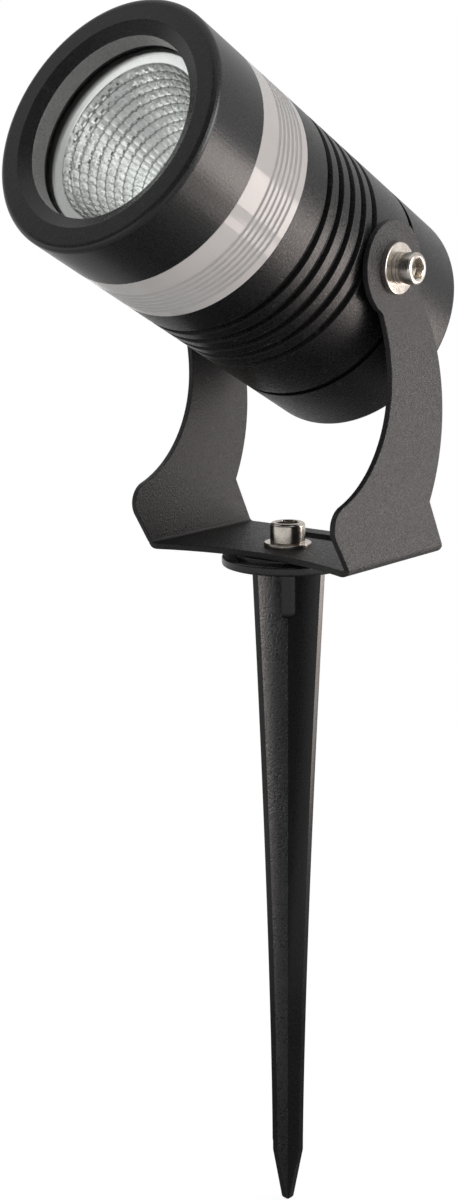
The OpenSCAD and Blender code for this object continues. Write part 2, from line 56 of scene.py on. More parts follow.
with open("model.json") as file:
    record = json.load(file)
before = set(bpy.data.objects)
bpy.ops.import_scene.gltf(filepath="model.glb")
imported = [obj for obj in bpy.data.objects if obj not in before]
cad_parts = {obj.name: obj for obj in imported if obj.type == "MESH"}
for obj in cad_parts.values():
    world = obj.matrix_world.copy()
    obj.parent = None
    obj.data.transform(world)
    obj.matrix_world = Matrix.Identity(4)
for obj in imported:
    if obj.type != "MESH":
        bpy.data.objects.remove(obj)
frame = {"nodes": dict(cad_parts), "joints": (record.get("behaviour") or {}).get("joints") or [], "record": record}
CAD_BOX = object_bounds()

MM = 0.001
SPIKE_BODY, YOKE_BODY, HEAD_BODY = "ground_spike", "yoke", "lamp_head"
ROUND, FINE_ROUND = 192, 96
SAME_POINT = 1e-7
SHARP_ANGLE = radians(38)
WHITE = (1, 1, 1, 1)

Span = namedtuple("Span", "low high inner outer")


def head_matrix():
    """Places a piece drawn along +Z from the tilt axis into the head, away from its cable entry."""
    entry = next(m for m in frame["record"]["mounts"] if m["name"] == "cable_entry")
    tilt = next(j for j in frame["joints"] if j["name"] == "head_tilt")
    along, side = -Vector(entry["axis"]).normalized(), Vector((1, 0, 0))
    turn = Matrix((side, along.cross(side), along)).transposed().to_4x4()
    return Matrix.Translation(Vector(tilt["pos_m"])) @ turn


HEAD = head_matrix()
PIVOTS = tuple(HEAD @ Matrix.Rotation(side * pi / 2, 4, "Y") for side in (1, -1))
UPRIGHT = Matrix.Identity(4)


def radius(point):
    """Distance from the +Z axis."""
    return hypot(point.x, point.y)


def span(node, place=HEAD, keep=lambda point: True):
    """Heights and radii of a CAD node's points, measured round the +Z axis of a place."""
    back = place.inverted()
    points = [p for p in (back @ v.co for v in frame["nodes"][node].data.vertices) if keep(p)]
    heights, radii = [p.z for p in points], [radius(p) for p in points]
    return Span(min(heights), max(heights), min(radii), max(radii))


def above(height):
    """Keeps points beyond a height."""
    return lambda point: point.z > height


def below(height):
    """Keeps points short of a height."""
    return lambda point: point.z < height


def wider(least):
    """Keeps points outside a radius."""
    return lambda point: radius(point) > least


def length(name, description, size, least, most):
    """A setting for a length, given in millimetres."""
    return bpy.props.FloatProperty(name=name, description=description, default=size * MM, min=least * MM,
                                   max=most * MM, precision=5, unit="LENGTH", subtype="DISTANCE")


def part_of(name, description, size, least, most):
    """A setting for a share of something."""
    return bpy.props.FloatProperty(name=name, description=description, default=size, min=least, max=most,
                                   subtype="FACTOR")


def number_of(name, description, size, least, most):
    """A setting for a count."""
    return bpy.props.IntProperty(name=name, description=description, default=size, min=least, max=most)


def plain(name, description, size, least, most):
    """A setting for a number without a unit."""
    return bpy.props.FloatProperty(name=name, description=description, default=size, min=least, max=most)


def colour_of(name, description, *levels):
    """A setting for a colour."""
    return bpy.props.FloatVectorProperty(name=name, description=description, default=levels, min=0, max=1,
                                         size=3, subtype="COLOR")


class HeadSettings(bpy.types.PropertyGroup):
    """Sizes of the head's shells that the finer pieces add to the frame."""

    face_width: length("Face width", "Width of the flat ring round the light opening", 6.2, 2, 8)
    cone_depth: length("Cone depth", "Depth of the cone from the face to the opening", 1.8, 0, 5)
    face_round: length("Face rounding", "Rounding of the bezel's outer front edge", 1.8, 0, 2.5)
    mouth_wall: length("Mouth wall", "Thickness of the shells at their threaded mouths", 3, 1, 5)
    groove_count: number_of("Cooling grooves", "Number of grooves round the housing", 5, 1, 6)
    groove_pitch: length("Groove pitch", "Distance between two cooling grooves", 5.6, 3, 7)
    groove_width: length("Groove width", "Width of a cooling groove", 2.6, 0.5, 3)
    groove_depth: length("Groove depth", "Depth of a cooling groove", 1.5, 0.2, 2)
    first_groove: length("First groove", "Distance from the housing's front to the first groove", 10.9, 4, 16)
    joint_bevel: length("Joint bevel", "Size that sets the gap between housing and rear cap", 0.9, 0, 1.5)
    cap_round: length("Cap rounding", "Rounding of the rear cap's edge", 1.6, 0, 4)
    rib_count: number_of("Ring ribs", "Number of channels between the clear ring's ribs", 6, 1, 7)
    rib_pitch: length("Rib pitch", "Distance between two ribs of the clear ring", 1.9, 1, 3)
    rib_start: part_of("First rib", "Place of the rear channel, of the ring's length", 0.16, 0.05, 0.5)
    rib_depth: length("Rib depth", "Depth of the channels between the ribs", 0.45, 0, 1)


class LampSettings(bpy.types.PropertyGroup):
    """Sizes of the reflector."""

    facet_count: number_of("Facets round", "Number of facets round the reflector", 48, 12, 96)
    facet_rows: number_of("Facet rows", "Number of facet rows down the reflector", 12, 4, 24)
    facet_crown: length("Facet crown", "How far a facet's middle stands proud of its corners", 0.15, 0, 0.5)
    lip: length("Lip", "Width of the polished lip round the reflector's opening", 2.6, 0.5, 4)
    sheet: length("Reflector sheet", "Thickness of the reflector", 1, 0.3, 2)


class ScrewSettings(bpy.types.PropertyGroup):
    """Shape of the screws, as shares of their own sizes."""

    socket_share: part_of("Socket width", "Width across flats, of the head's diameter", 0.6, 0.3, 0.8)
    socket_depth_share: part_of("Socket depth", "Depth of the socket, of the head's height", 0.55, 0.2, 0.9)
    edge_share: part_of("Head bevel", "Bevel round the head, of its radius", 0.18, 0, 0.3)


class YokeSettings(bpy.types.PropertyGroup):
    """Finish of the folded yoke's cut edges."""

    edge_round: length("Edge rounding", "Rounding that the coating leaves on the cut edges", 0.28, 0.05, 0.6)


class SpikeSettings(bpy.types.PropertyGroup):
    """Sizes of the moulded spike."""

    fin_thickness: length("Fin thickness", "Thickness of a fin", 2.2, 1, 4)
    fin_turn: bpy.props.FloatProperty(name="Fin turn", description="Turn of the fins about the spike's axis",
                                      default=radians(-6), min=-pi, max=pi, unit="ROTATION", subtype="ANGLE")
    point_length: length("Point length", "Length of the point at the spike's end", 19, 5, 40)
    end_reach: length("Fin end reach", "Reach of a fin from the axis where the point begins", 5.7, 2, 10)
    top_reach: length("Fin top reach", "Reach of a fin from the axis at the flange", 13.8, 6, 18)
    taper_power: plain("Taper", "Bow of the fins' outline: 1 is straight", 1.48, 1, 3)
    boss_radius: length("Boss radius", "Radius of the boss under the flange", 4.6, 3, 8)
    boss_depth: length("Boss depth", "Depth of the boss below the flange", 15.8, 8, 30)
    root_growth: length("Fin root growth", "How much a fin's side stands out at its root", 0.8, 0, 3)
    corner_round: length("Fin edge rounding", "Rounding of the fins' outer edges", 0.3, 0.05, 1)


class FinishSettings(bpy.types.PropertyGroup):
    """Colours of the main finishes."""

    bezel: colour_of("Bezel", "Colour of the anodised bezel", 0.013, 0.013, 0.0135)
    coat: colour_of("Body coat", "Colour of the powder coat on housing and rear cap", 0.0065, 0.006, 0.0062)
    yoke: colour_of("Yoke coat", "Colour of the coarse powder coat on the yoke", 0.0125, 0.011, 0.011)
    spike: colour_of("Spike", "Colour of the spike's plastic", 0.012, 0.012, 0.0125)
    steel: colour_of("Steel", "Colour of the stainless screws and washers", 0.74, 0.685, 0.615)
    ring: colour_of("Clear ring", "Tint of the clear ring", 0.97, 0.945, 0.93)


class StageSettings(bpy.types.PropertyGroup):
    """The studio's lights, where white is 1, and the camera's lens."""

    key_radiance: plain("Key light", "Brightness of the soft light at the rear right", 5.9, 0, 20)
    low_radiance: plain("Low light", "Brightness of the same light near the floor", 4.0, 0, 20)
    side_radiance: plain("Side light", "Brightness of the right soft box in shiny surfaces", 5.0, 0, 20)
    ambient: part_of("Ambient light", "Brightness of the studio's walls on matt surfaces", 0.45, 0, 1)
    bounce: part_of("Floor bounce", "Brightness of the floor on matt surfaces", 0.24, 0, 1)
    pixel_lens: plain("Focal length", "Focal length divided by the picture's height", 1.4843, 0.5, 5)


def settings(group):
    """One group of the scene's spotlight settings."""
    return getattr(bpy.context.scene, "spotlight_" + group)


def rounded(outline, bend, steps=4):
    """Rounds the corners of a closed outline of radius and height pairs; a third number is a corner's own."""
    made = []
    for i, corner in enumerate(outline):
        here = Vector(corner[:2])
        before = Vector(outline[i - 1][:2]) - here
        after = Vector(outline[(i + 1) % len(outline)][:2]) - here
        wanted = corner[2] if len(corner) > 2 else bend
        turn = before.angle(after)
        if wanted <= 0 or here.x < 1e-9 or turn > radians(176):
            made.append(tuple(here))
            continue
        reach = min(wanted / tan(turn / 2), before.length * 0.45, after.length * 0.45)
        arc = reach * tan(turn / 2)
        first, last = before.normalized(), after.normalized()
        centre = here + (first + last).normalized() * (arc / sin(turn / 2))
        start, end = here + first * reach - centre, here + last * reach - centre
        made += [tuple(centre + start.lerp(end, k / steps).normalized() * arc) for k in range(steps + 1)]
    return made


def section(cad):
    """Section of a plain ring that fills a span."""
    return [(cad.inner, cad.low), (cad.outer, cad.low), (cad.outer, cad.high), (cad.inner, cad.high)]


def trenches(outer, middles, depth, width, bend, profile):
    """Trenches round a body, each at its own height; the profile is in shares of their depth and width."""
    return [(outer - down * depth, middle + across * width, bend)
            for middle in middles for down, across in profile]


def grooved(spigot, seal, gap=0.1 * MM):
    """Outline of the groove that a seal ring lies in, up a spigot."""
    floor, low, high = seal.inner - gap / 2, seal.low - gap, seal.high + gap
    return [(spigot, low), (floor, low), (floor, high), (spigot, high)]


def polygon(sides, half, limit=inf):
    """Radius of a regular polygon at an angle, from half the distance across its flats, up to a limit."""
    sector = 2 * pi / sides
    return lambda angle: min(half / cos((angle + sector / 2) % sector - sector / 2), limit)


def ring(reach, height, count=FINE_ROUND):
    """A ring of points; reach is a number or a function of the angle."""
    at = reach if callable(reach) else lambda angle: reach
    return [(at(a) * cos(a), at(a) * sin(a), height) for a in (2 * pi * k / count for k in range(count))]


def loft(rings, loop=False, capped=True):
    """Skins rings of equally many points; a loop joins the last ring to the first."""
    work = bmesh.new()
    rows = [[work.verts.new(p) for p in points] for points in rings]
    for row, following in zip(rows, rows[1:] + (rows[:1] if loop else [])):
        for i in range(len(row)):
            j = (i + 1) % len(row)
            work.faces.new((row[i], row[j], following[j], following[i]))
    if capped and not loop:
        work.faces.new(rows[0][::-1])
        work.faces.new(rows[-1])
    return work


def clean(work):
    """Merges points that coincide, drops faces without area, and turns all faces outwards."""
    bmesh.ops.remove_doubles(work, verts=work.verts, dist=SAME_POINT)
    bmesh.ops.dissolve_degenerate(work, edges=work.edges, dist=SAME_POINT)
    bmesh.ops.delete(work, geom=[v for v in work.verts if not v.link_faces], context="VERTS")
    bmesh.ops.recalc_face_normals(work, faces=work.faces)
    return work


def turned(outline, count=ROUND):
    """A body of revolution round +Z from radius and height pairs."""
    on_axis = outline[0][0] < 1e-9 and outline[-1][0] < 1e-9
    return clean(loft([ring(r, h, count) for r, h in outline], loop=not on_axis, capped=False))


def lathed(profile, sharp, loop=False):
    """A body of revolution with flats: reaches may be functions of the angle."""
    return shade(clean(loft([ring(r, h) for r, h in profile], loop)), radians(sharp))


def joined(*works):
    """Puts several bodies into one."""
    whole = bmesh.new()
    for work in works:
        mesh = bpy.data.meshes.new("joined_part")
        work.to_mesh(mesh)
        work.free()
        whole.from_mesh(mesh)
        bpy.data.meshes.remove(mesh)
    return whole


def moved(work, place):
    """Moves a body by a matrix."""
    bmesh.ops.transform(work, matrix=place, verts=work.verts)
    return work


def shade(work, sharp=SHARP_ANGLE):
    """Shades a body smooth, with sharp edges beyond an angle, which may be a function of the edge."""
    for face in work.faces:
        face.smooth = True
    for edge in work.edges:
        limit = sharp(edge) if callable(sharp) else sharp
        edge.smooth = len(edge.link_faces) == 2 and edge.calc_face_angle() < limit
    return work


def painted(work, chosen):
    """Gives the faces that a test picks their piece's second finish."""
    for face in work.faces:
        if chosen(face.calc_center_median(), face.normal):
            face.material_index = 1
    return work


def into_object(name, work):
    """Makes a linked object of a body."""
    mesh = bpy.data.meshes.new(name)
    work.to_mesh(mesh)
    work.free()
    made = bpy.data.objects.new(name, mesh)
    bpy.context.scene.collection.objects.link(made)
    return made


def piece(name, work, slot, node, body=HEAD_BODY, place=HEAD, second=None, even=True):
    """Makes the visible piece that stands for a CAD node, with its finish, riding on a body of the frame."""
    made = into_object(name, work)
    made.matrix_world = place
    for finish_name in (slot, second) if second else (slot,):
        made.data.materials.append(finish(finish_name))
    if even:
        made.modifiers.new("even_shading", "WEIGHTED_NORMAL").keep_sharp = True
    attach(made, body)
    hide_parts(node)


def carved(work, cutters):
    """Cuts bodies out of a body."""
    target, *tools = [into_object(f"carving_{number}", part) for number, part in enumerate([work, *cutters])]
    for tool in tools:
        cut = target.modifiers.new(tool.name, "BOOLEAN")
        cut.object, cut.operation, cut.solver = tool, "DIFFERENCE", "EXACT"
    bpy.context.view_layer.update()
    seen = target.evaluated_get(bpy.context.evaluated_depsgraph_get())
    result = bmesh.new()
    result.from_mesh(seen.to_mesh())
    seen.to_mesh_clear()
    for made in (target, *tools):
        mesh = made.data
        bpy.data.objects.remove(made)
        bpy.data.meshes.remove(mesh)
    bmesh.ops.remove_doubles(result, verts=result.verts, dist=SAME_POINT)
    return result


def put(tree, kind, feeds=None, **values):
    """Adds a shader node with its settings; feeds fill its inputs with values or other nodes' sockets."""
    made = tree.nodes.new("ShaderNode" + kind)
    for key, value in values.items():
        setattr(made, key, value)
    for key, value in (feeds or {}).items():
        if isinstance(value, bpy.types.NodeSocket):
            tree.links.new(value, made.inputs[key])
        else:
            made.inputs[key].default_value = value
    return made


def maths(tree, operation, *values):
    """Adds a Math node and gives its result."""
    return put(tree, "Math", dict(enumerate(values)), operation=operation).outputs[0]


def ramped(tree, value, low, high, start=0.0, end=1.0):
    """Maps a value from one range to another, smoothly, and gives the result."""
    feeds = {"Value": value, "From Min": low, "From Max": high, "To Min": start, "To Max": end}
    return put(tree, "MapRange", feeds, interpolation_type="SMOOTHSTEP").outputs[0]


def tinted(tree, share, first, second, blend="MIX"):
    """Mixes two colours and gives the result."""
    return put(tree, "Mix", {0: share, 6: first, 7: second}, data_type="RGBA", blend_type=blend).outputs[2]


def noise(tree, place, scale, detail=2.0, roughness=0.5):
    """Adds noise and gives its value."""
    feeds = {"Vector": place, "Scale": scale, "Detail": detail, "Roughness": roughness}
    return put(tree, "TexNoise", feeds).outputs[0]


def own_place(tree):
    """Coordinates of the piece itself."""
    return put(tree, "TexCoord").outputs["Object"]


def send(tree, sockets, **values):
    """Links values to sockets by name (an underscore stands for a space)."""
    for key, value in values.items():
        tree.links.new(value, sockets[key.replace("_", " ")])


def effect(name, outputs, **inputs):
    """Starts a node group; gives the group, its input sockets and its output sockets."""
    tree = bpy.data.node_groups.new(name, "ShaderNodeTree")
    for label, default in inputs.items():
        kind = "Color" if isinstance(default, tuple) else "Float"
        socket = tree.interface.new_socket(label.replace("_", " "), in_out="INPUT",
                                           socket_type="NodeSocket" + kind)
        socket.default_value = default
    for label in outputs:
        kind = {"Colour": "Color", "Normal": "Vector"}.get(label, "Float")
        tree.interface.new_socket(label, in_out="OUTPUT", socket_type="NodeSocket" + kind)
    return tree, tree.nodes.new("NodeGroupInput").outputs, tree.nodes.new("NodeGroupOutput").inputs


def once(build):
    """Returns the data block that a function builds, and builds it only the first time."""
    kept = []

    def give():
        if not kept:
            kept.append(build())
        return kept[0]

    return give


BLACK_PAINT, BARE_EDGE = (0.02, 0.02, 0.02, 1), (0.2, 0.2, 0.2, 1)
SPECK_COLOUR, DUST_COLOUR = (0.05, 0.048, 0.047, 1), (0.16, 0.15, 0.145, 1)


@once
def coated_grain():
    """Grain of a powder coat or a moulded skin: fine bumps, broad waves and a few lighter specks."""
    tree, given, out = effect("coated_grain", ["Colour", "Roughness", "Normal"], Colour=BLACK_PAINT,
                              Roughness=0.4, Grain_Size=0.0003, Depth=0.00003, Waves=0.5, Specks=0.2,
                              Spread=0.1)
    place = own_place(tree)
    fine_scale = maths(tree, "DIVIDE", 1.0, given["Grain Size"])
    fine = noise(tree, place, fine_scale, 3.0, 0.6)
    broad = noise(tree, place, maths(tree, "DIVIDE", fine_scale, 6.0), 2.0)
    cells = put(tree, "TexVoronoi", {"Vector": place, "Scale": maths(tree, "DIVIDE", fine_scale, 9.0)})
    speck = maths(tree, "MULTIPLY", ramped(tree, cells.outputs["Distance"], 0.16, 0.08), given["Specks"])
    height = maths(tree, "MULTIPLY_ADD", broad, given["Waves"], fine)
    bump = put(tree, "Bump", {"Strength": 1.0, "Distance": given["Depth"], "Height": height})
    level = ramped(tree, fine, 0.32, 0.68, 0.45, 1.7)
    grey = put(tree, "CombineColor", {0: level, 1: level, 2: level}).outputs[0]
    varied = tinted(tree, 1.0, given["Colour"], grey, "MULTIPLY")
    lighter = tinted(tree, 1.0, varied, SPECK_COLOUR, "ADD")
    swing = maths(tree, "SUBTRACT", fine, 0.5)
    send(tree, out, Colour=tinted(tree, speck, varied, lighter), Normal=bump.outputs[0],
         Roughness=maths(tree, "MULTIPLY_ADD", swing, given["Spread"], given["Roughness"]))
    return tree


@once
def edge_wear():
    """Paler colour where edges stand proud."""
    tree, given, out = effect("edge_wear", ["Colour"], Colour=BLACK_PAINT, Worn_Colour=BARE_EDGE, Amount=0.3,
                              Start=0.53)
    proud = put(tree, "NewGeometry").outputs["Pointiness"]
    edge = ramped(tree, maths(tree, "SUBTRACT", proud, given["Start"]), 0.0, 0.06)
    broken = ramped(tree, noise(tree, own_place(tree), 900.0, 4.0, 0.65), 0.42, 0.66)
    mask = maths(tree, "MULTIPLY", maths(tree, "MULTIPLY", edge, broken), given["Amount"])
    send(tree, out, Colour=tinted(tree, mask, given["Colour"], given["Worn Colour"]))
    return tree


@once
def settled_dust():
    """Thin dust and hand marks: a little paler and rougher in soft patches."""
    tree, given, out = effect("settled_dust", ["Colour", "Roughness"], Colour=BLACK_PAINT, Roughness=0.4,
                              Amount=0.1)
    patches = ramped(tree, noise(tree, own_place(tree), 55.0, 5.0, 0.6), 0.42, 0.72)
    share = maths(tree, "MULTIPLY", patches, given["Amount"])
    send(tree, out, Colour=tinted(tree, share, given["Colour"], DUST_COLOUR),
         Roughness=maths(tree, "MULTIPLY_ADD", share, 0.6, given["Roughness"]))
    return tree


@once
def turning_marks():
    """Fine rings that a lathe leaves round a part's own +Z axis."""
    tree, given, out = effect("turning_marks", ["Roughness", "Normal"], Pitch=0.0002, Depth=0.000004,
                              Roughness=0.25, Spread=0.12)
    place = own_place(tree)
    axes = put(tree, "SeparateXYZ", {0: place}).outputs
    flat = put(tree, "CombineXYZ", {0: axes[0], 1: axes[1]}).outputs[0]
    reach = put(tree, "VectorMath", {0: flat}, operation="LENGTH").outputs["Value"]
    travel = maths(tree, "ADD", reach, axes[2])
    wobble = maths(tree, "MULTIPLY", noise(tree, place, 400.0), 0.0002)
    phase = maths(tree, "DIVIDE", maths(tree, "ADD", travel, wobble), given["Pitch"])
    rings = maths(tree, "SINE", maths(tree, "MULTIPLY", phase, 2 * pi))
    uneven = noise(tree, put(tree, "CombineXYZ", {0: travel}).outputs[0], 3000.0, 3.0)
    height = maths(tree, "MULTIPLY_ADD", rings, 0.4, uneven)
    bump = put(tree, "Bump", {"Strength": 1.0, "Distance": given["Depth"], "Height": height})
    swing = maths(tree, "SUBTRACT", uneven, 0.5)
    send(tree, out, Normal=bump.outputs[0],
         Roughness=maths(tree, "MULTIPLY_ADD", swing, given["Spread"], given["Roughness"]))
    return tree


def use(tree, build, **feeds):
    """Places an effect in a material, with its inputs by name (an underscore stands for a space)."""
    made = tree.nodes.new("ShaderNodeGroup")
    made.node_tree = build()
    for key, value in feeds.items():
        socket = made.inputs[key.replace("_", " ")]
        if isinstance(value, bpy.types.NodeSocket):
            tree.links.new(value, socket)
        else:
            socket.default_value = value
    return made.outputs


def rgba(colour):
    """A colour with full cover."""
    return (*colour[:3], 1)


def hue(name):
    """One of the colours in the settings."""
    return getattr(settings("finishes"), name)


def surface(name, colour, roughness, **constants):
    """Starts a material; constants are plain values of its shader."""
    material = bpy.data.materials.new(name)
    material.use_nodes = True
    tree = material.node_tree
    inputs = tree.nodes["Principled BSDF"].inputs
    material.diffuse_color = inputs["Base Color"].default_value = rgba(colour)
    inputs["Roughness"].default_value = roughness
    for key, value in constants.items():
        inputs[key.replace("_", " ")].default_value = value
    return material, tree, inputs


def coated(name, colour, roughness, size, depth, waves, specks, worn, wear, dust, spread=0.15, shine=0.5):
    """A painted or moulded finish: grain, then dust, then worn edges."""
    material, tree, inputs = surface(name, colour, roughness, Specular_IOR_Level=shine)
    grain = use(tree, coated_grain, Colour=rgba(colour), Roughness=roughness, Grain_Size=size, Depth=depth,
                Waves=waves, Specks=specks, Spread=spread)
    dusty = use(tree, settled_dust, Colour=grain["Colour"], Roughness=grain["Roughness"], Amount=dust)
    edges = use(tree, edge_wear, Colour=dusty["Colour"], Worn_Colour=rgba(worn), Amount=wear)
    send(tree, inputs, Base_Color=edges["Colour"], Roughness=dusty["Roughness"], Normal=grain["Normal"])
    return material


def turned_metal(name, colour, roughness, pitch=0.0002, depth=0.000004, spread=0.12, stained=True):
    """A turned metal finish with fine rings and faint stains."""
    material, tree, inputs = surface(name, colour, roughness, Metallic=1.0)
    marks = use(tree, turning_marks, Pitch=pitch, Depth=depth, Roughness=roughness, Spread=spread)
    send(tree, inputs, Roughness=marks["Roughness"], Normal=marks["Normal"])
    if stained:
        stain = ramped(tree, noise(tree, own_place(tree), 260.0, 4.0), 0.4, 0.7)
        darker = tuple(0.72 * channel for channel in colour[:3])
        send(tree, inputs, Base_Color=tinted(tree, stain, rgba(colour), rgba(darker)))
    return material


def patterned(name, colours, roughness, pattern, bump=None, **constants):
    """A finish of a main colour and two that a pattern mixes; bump is a depth and its height's pattern."""
    material, tree, inputs = surface(name, colours[0], roughness, **constants)
    place = own_place(tree)
    share = pattern(tree, place)
    send(tree, inputs, Base_Color=tinted(tree, share, rgba(colours[1]), rgba(colours[2])))
    if bump:
        depth, relief = bump
        height = relief(tree, place) if relief else share
        send(tree, inputs, Normal=put(tree, "Bump", {"Distance": depth, "Height": height}).outputs[0])
    return material


def cell_mask(tree, place, scale, low, high, distance="EUCLIDEAN", **feeds):
    """Mask of a cell pattern, by the distance from a cell's middle."""
    made = put(tree, "TexVoronoi", {"Vector": place, "Scale": scale, **feeds}, distance=distance)
    return ramped(tree, made.outputs["Distance"], low, high)


def copper_coil():
    """Lacquered copper wire, wound round the coil."""
    def wires(tree, place):
        wave = {"Vector": place, "Scale": 700.0, "Distortion": 1.5}
        return put(tree, "TexWave", wave, bands_direction="Z").outputs[1]

    return patterned("wound_copper", ((0.50, 0.20, 0.08), (0.22, 0.08, 0.03), (0.60, 0.26, 0.11)), 0.3, wires,
                     (0.0002, None), Metallic=1.0, Coat_Weight=0.4)


def capacitor_sleeve():
    """Shrunk plastic sleeve with a paler band."""
    def band(tree, place):
        return maths(tree, "GREATER_THAN", put(tree, "SeparateXYZ", {0: place}).outputs[0], 0.0135)

    return patterned("shrunk_sleeve", ((0.02, 0.03, 0.07), (0.02, 0.03, 0.07), (0.45, 0.46, 0.48)), 0.3, band,
                     (0.00004, lambda tree, place: noise(tree, place, 900.0, 3.0)), Coat_Weight=0.3)


def green_board():
    """Solder mask with the copper's raised tracks."""
    return patterned("green_solder_mask", ((0.02, 0.16, 0.06), (0.015, 0.11, 0.045), (0.03, 0.22, 0.08)),
                     0.28, lambda tree, place: cell_mask(tree, place, 320.0, 0.30, 0.36, "MANHATTAN"),
                     (0.00004, None), Coat_Weight=0.5)


def white_plastic():
    """White moulded plastic of the chip holder, a little yellowed."""
    return patterned("white_holder_plastic", ((0.78, 0.78, 0.75), (0.80, 0.80, 0.78), (0.74, 0.72, 0.64)),
                     0.42, lambda tree, place: ramped(tree, noise(tree, place, 120.0, 3.0), 0.4, 0.75),
                     (0.00001, lambda tree, place: noise(tree, place, 2600.0, 3.0)))


def chip_ceramic():
    """Glazed ceramic of the lamp chip, a little clouded."""
    return patterned("chip_ceramic", ((0.78, 0.78, 0.74), (0.80, 0.80, 0.77), (0.70, 0.70, 0.66)), 0.25,
                     lambda tree, place: ramped(tree, noise(tree, place, 700.0, 4.0), 0.35, 0.7),
                     Coat_Weight=0.3)


def yellow_phosphor():
    """Yellow silicone over the lamp's dies, which show as a faint grid."""
    return patterned("yellow_phosphor", ((0.85, 0.60, 0.06), (0.74, 0.47, 0.03), (0.90, 0.67, 0.10)), 0.3,
                     lambda tree, place: cell_mask(tree, place, 900.0, 0.26, 0.36, "CHEBYCHEV",
                                                   Randomness=0.0),
                     (0.00003, lambda tree, place: noise(tree, place, 1500.0)), Coat_Weight=0.6)


def bright_reflector():
    """Metallised facets with dark joints, a little clouded from cell to cell."""
    colour = (0.86, 0.87, 0.86)
    material, tree, inputs = surface("metallised_facets", colour, 0.06, Metallic=1.0)
    place = own_place(tree)
    clouded = ramped(tree, noise(tree, place, 190.0, 3.0), 0.35, 0.7)
    silver = tinted(tree, clouded, (0.95, 0.95, 0.935, 1), rgba(colour))
    joint = ramped(tree, put(tree, "Attribute", attribute_name="facet_edge").outputs["Fac"], 0.66, 0.98)
    rough = ramped(tree, noise(tree, place, 500.0, 3.0), 0.3, 0.7, 0.06, 0.13)
    send(tree, inputs, Base_Color=tinted(tree, joint, silver, (0.30, 0.305, 0.30, 1)),
         Roughness=maths(tree, "MULTIPLY_ADD", joint, 0.3, rough))
    return material


def toughened_glass():
    """Clear glass with the faint green of its edge and a trace of dust."""
    material, tree, inputs = surface("clear_glass", (0.985, 0.997, 0.992), 0.0, Transmission_Weight=1.0,
                                     IOR=1.45)
    place = own_place(tree)
    mote = cell_mask(tree, place, 420.0, 0.05, 0.02)
    smear = ramped(tree, noise(tree, place, 70.0, 3.0), 0.5, 0.75, 0.0, 0.05)
    send(tree, inputs, Roughness=maths(tree, "MULTIPLY_ADD", mote, 0.2, smear))
    return material


def clear_acrylic():
    """Clear acrylic, faintly milky, with fine lathe rings."""
    tint = hue("ring")
    material, tree, inputs = surface("clear_acrylic", tint, 0.05, Transmission_Weight=0.2, IOR=1.49,
                                     Specular_IOR_Level=0.4)
    marks = use(tree, turning_marks, Pitch=0.0004, Depth=0.0000015, Roughness=0.05, Spread=0.06)
    milky = ramped(tree, noise(tree, own_place(tree), 45.0, 3.0), 0.35, 0.7)
    send(tree, inputs, Base_Color=tinted(tree, milky, rgba(tint), (0.91, 0.885, 0.875, 1)),
         Roughness=marks["Roughness"], Normal=marks["Normal"])
    return material


FINISHES = {
    # Coated: name, colour, roughness, grain size and depth, waves, specks, worn colour, wear, dust,
    # spread and shine.
    "anodised_bezel": lambda: coated("satin_black_anodising", hue("bezel"), 0.28, 0.0005, 0.000025, 0.6, 0.0,
                                     (0.16, 0.155, 0.15), 0.12, 0.02, 0.2),
    "satin_bore": lambda: coated("satin_bore", (0.42, 0.416, 0.41), 0.32, 0.0002, 0.000006, 1.0, 0.0,
                                 (0.3, 0.3, 0.3), 0.1, 0.02),
    "body_powder_coat": lambda: coated("fine_black_powder_coat", hue("coat"), 0.31, 0.0006, 0.0001, 0.35, 0.5,
                                       (0.12, 0.115, 0.11), 0.1, 0.03, 0.5, 0.39),
    # Joint faces between housing and rear cap: near-black painted shade that stands in for the shadow in the gap.
    "joint_primer": lambda: coated("joint_primer", (0.003, 0.003, 0.003), 0.7, 0.0003, 0.00001, 0.5, 0.0,
                                   (0.02, 0.02, 0.02), 0.05, 0.0, 0.1, 0.15),
    "yoke_powder_coat": lambda: coated("coarse_dark_powder_coat", hue("yoke"), 0.46, 0.00065, 0.00036, 0.25,
                                       0.5, (0.10, 0.09, 0.085), 0.05, 0.04, 0.9),
    "spike_plastic": lambda: coated("smooth_black_plastic", hue("spike"), 0.21, 0.0005, 0.00001, 2.0, 0.0,
                                    (0.09, 0.09, 0.09), 0.1, 0.03, 0.1),
    "pebbled_plastic": lambda: coated("pebbled_black_plastic", hue("spike"), 0.30, 0.0007, 0.00017, 0.3, 0.1,
                                      (0.09, 0.09, 0.09), 0.1, 0.03, 0.3, 0.8),
    "black_nylon": lambda: coated("black_nylon", (0.019, 0.019, 0.020), 0.46, 0.0002, 0.000008, 1.0, 0.1,
                                  (0.08, 0.08, 0.08), 0.1, 0.05),
    "nylon_washer": lambda: coated("washer_nylon", (0.017, 0.017, 0.018), 0.5, 0.0002, 0.000006, 0.5, 0.0,
                                   (0.06, 0.06, 0.06), 0.05, 0.03),
    "black_rubber": lambda: coated("black_rubber", (0.012, 0.012, 0.0125), 0.62, 0.00025, 0.000006, 1.2, 0.05,
                                   (0.05, 0.05, 0.05), 0.05, 0.10),
    # Turned: name, colour, roughness, pitch and depth of the rings, spread.
    "reflector_rim": lambda: turned_metal("polished_lip", (0.76, 0.76, 0.745), 0.18, 0.0006, 0.000006, 0.14,
                                          stained=False),
    "stainless_steel": lambda: turned_metal("stainless_steel", hue("steel"), 0.22),
    "spring_steel": lambda: turned_metal("spring_steel", (0.48, 0.455, 0.43), 0.3, 0.00015),
    "brass_insert": lambda: turned_metal("turned_brass", (0.62, 0.44, 0.18), 0.28, 0.00025),
    **{build.__name__: build for build in (
        copper_coil, capacitor_sleeve, green_board, white_plastic, chip_ceramic, yellow_phosphor,
        bright_reflector, toughened_glass, clear_acrylic)},
}
MADE_FINISHES = {}


